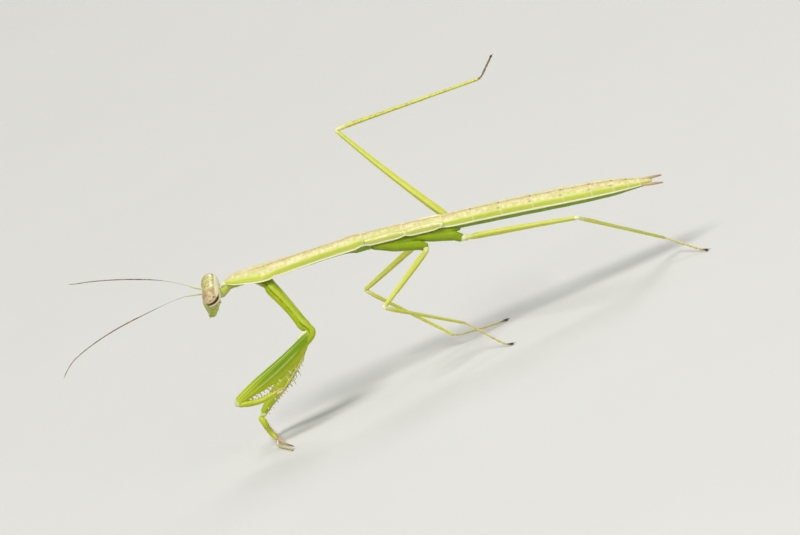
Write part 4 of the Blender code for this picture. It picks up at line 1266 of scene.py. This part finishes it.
PAD_STEPS = 48
PAD_ARC = 20
PAD_THICKNESS = 0.16
PAD_TOP = 54.0                  # the flap reaches this many degrees up from the side
WIDEST = 0.55                   # along the flap, where it starts to narrow to its tip


def build_pad(name, hand):
    """Curved flap against the flank, narrowing to a rounded tip."""
    points = SHAPES[name][0]
    s_of = trunk.nearest(points)
    start, end = s_of.min() - 0.3, s_of.max()
    middle, tangent = trunk.read(s_of)[:2]
    offset = points - middle
    offset -= tangent * (offset * tangent).sum(1)[:, None]
    radius = float(np.percentile(np.linalg.norm(offset, axis=1), 20))
    t = np.linspace(0, 1, PAD_STEPS)
    centre, _, side, back = trunk.read(start + (end - start) * t)[:4]
    spread = np.sqrt(np.clip(1 - ((t - WIDEST) / (1 - WIDEST)).clip(0, 1) ** 2.4, 0.03, 1))
    spread *= 0.55 + 0.45 * np.sqrt(np.clip(t / 0.12, 0, 1))
    middle_angle = math.radians(PAD_TOP) * (0.5 + 0.02 * t)
    half_angle = math.radians(PAD_TOP / 2) * spread
    thickness = PAD_THICKNESS * np.sqrt(np.clip(1 - t ** 8, 0.1, 1))
    lift = 0.02 + 0.10 * t ** 2
    shares = np.linspace(-1, 1, PAD_ARC)
    outer = np.concatenate((np.ones(PAD_ARC), np.zeros(PAD_ARC)))
    both = np.concatenate((shares, shares[::-1]))
    angle = middle_angle[:, None] + half_angle[:, None] * both[None, :]
    crown = 0.05 * (1 - both ** 2) + 0.035 * hump(both, -0.9, 0.1)
    # The upper edge grows out of the back: only the lower edge and the tip stand free.
    free = (1 - 0.85 * smoothstep(both, 0.2, 1.0))[None, :]
    raised = lift[:, None] + (thickness[:, None] + crown[None, :]) * outer[None, :]
    r = radius - 0.08 * (1 - free) + raised * free
    pad = Skin(["wing_pad_shell"])
    pad.rings(loft(centre, side, back, hand * r * np.cos(angle), r * np.sin(angle)),
              "wing_pad_shell", along=t[:, None], around=(both + 1) / 2)
    pad.build(f"{name}_flap", (name,))


# ---------------------------------------------------------------- the animal

BRISTLE_SEED = 7


def build_animal():
    rng = random.Random(BRISTLE_SEED)
    skin = Skin(["trunk_shell", "head_shell", "under_shell", "fore_coxa_shell",
                 "fore_femur_shell", "fore_tibia_shell", "leg_shell", "foot_shell", "joint_skin",
                 "neck_skin", "blade_skin", "spine_horn", "cercus_skin", "hair"],
                ("along", "around", "level", "rim"))
    spines = Skin(["spine_horn", "pink_horn"])
    claws = Skin(["claw_horn", "pink_horn"])
    build_trunk(skin)
    build_head(skin)
    build_cerci(skin)
    for side_name, hand in SIDES.items():
        build_foreleg(skin, spines, claws, side_name, rng)
        for pair in ("mid", "hind"):
            build_walking_leg(skin, claws, pair, side_name, rng)
        build_eye(side_name, hand)
        build_antenna(side_name)
        for pad in ("fore", "hind"):
            build_pad(f"wing_pad_{pad}_{side_name}", hand)
    flesh = [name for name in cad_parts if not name.startswith(("eye", "antenna", "wing_pad"))]
    skin.build("skin", flesh)
    spines.build("foreleg_spines")
    claws.build("claws")


# ---------------------------------------------------------------- stage

FLOOR_CIRCLES = (300.0, 900.0, 2000.0, 3200.0, 4500.0)     # radii in the flat part
BEND_RADIUS = 1500.0
BEND_STEPS = 12
WALL_HEIGHT = 6000.0
STAGE_SIDES = 96


def build_stage():
    """A pale floor that sweeps up all round into a wall, with no edge between them."""
    flat = FLOOR_CIRCLES[-1]
    profile = [(radius, 0.0) for radius in FLOOR_CIRCLES]
    for k in range(1, BEND_STEPS + 1):
        a = math.pi / 2 * k / BEND_STEPS
        profile.append((flat + BEND_RADIUS * math.sin(a), BEND_RADIUS * (1 - math.cos(a))))
    profile.append((flat + BEND_RADIUS, WALL_HEIGHT))
    points = [(r * math.cos(a) * MM, r * math.sin(a) * MM, z * MM)
              for r, z in profile for a in circle(STAGE_SIDES)[0]]
    points.append((0.0, 0.0, 0.0))
    faces = [(len(points) - 1, j, (j + 1) % STAGE_SIDES) for j in range(STAGE_SIDES)]
    for i in range(len(profile) - 1):
        for j in range(STAGE_SIDES):
            a, b = i * STAGE_SIDES + j, i * STAGE_SIDES + (j + 1) % STAGE_SIDES
            faces.append((a, a + STAGE_SIDES, b + STAGE_SIDES, b))
    mesh = bpy.data.meshes.new("floor")
    mesh.from_pydata(points, [], faces)
    mesh.shade_smooth()
    paint = Paint("floor_paper", roughness=0.9, subsurface=0.0, coat=0.0)
    paint.base(paint.noise(60.0), (0.60, 0.60, 0.58), (0.63, 0.63, 0.61))
    paint.finish()
    mesh.materials.append(MATERIALS["floor_paper"])
    floor = add_object("floor", mesh)


def add_light(name, place, size, power, colour=(1, 1, 1)):
    data = bpy.data.lights.new(name, "AREA")
    data.shape = "DISK"
    data.size = size * MM
    data.energy = power
    data.color = colour
    lamp = add_object(name, data)
    lamp.location = Vector(place) * MM
    lamp.rotation_euler = (-Vector(place)).to_track_quat("-Z", "Y").to_euler()


def build_lights():
    add_light("key", (-300, -750, 1400), 700, 22.0, (1.0, 0.98, 0.94))
    add_light("fill", (1100, -1100, 600), 900, 6.0, (0.96, 0.98, 1.0))
    add_light("rim", (500, 1200, 1100), 700, 9.0)
    world = bpy.data.worlds.new("studio")
    world.use_nodes = True
    background = world.node_tree.nodes["Background"]
    background.inputs["Color"].default_value = (0.97, 0.98, 1.0, 1.0)
    background.inputs["Strength"].default_value = 0.42
    bpy.context.scene.world = world
    bpy.context.scene.view_settings.view_transform = "Standard"


def build_camera():
    """Camera a little above the animal's side, rolled by the slope that the animal stood on."""
    turn, raised, roll = (math.radians(a) for a in (CAMERA_TURN, CAMERA_ELEVATION, CAMERA_ROLL))
    back = Vector((math.sin(turn) * math.cos(raised), -math.cos(turn) * math.cos(raised),
                   math.sin(raised)))
    level_right = Vector((math.cos(turn), math.sin(turn), 0))
    level_up = back.cross(level_right)
    right = level_right * math.cos(roll) - level_up * math.sin(roll)
    up = level_right * math.sin(roll) + level_up * math.cos(roll)
    target = right * AIM_RIGHT + up * AIM_UP + back * AIM_NEAR
    data = bpy.data.cameras.new("camera")
    data.sensor_width = SENSOR
    data.lens = SENSOR * CAMERA_DISTANCE / FRAME_WIDTH
    data.clip_start = 0.01
    data.clip_end = 20
    camera = add_object("camera", data)
    rotation = Matrix((right, up, back)).transposed().to_4x4()
    camera.matrix_world = Matrix.Translation((target + back * CAMERA_DISTANCE) * MM) @ rotation
    bpy.context.scene.camera = camera


build_animal()
build_stage()
build_lights()
build_camera()
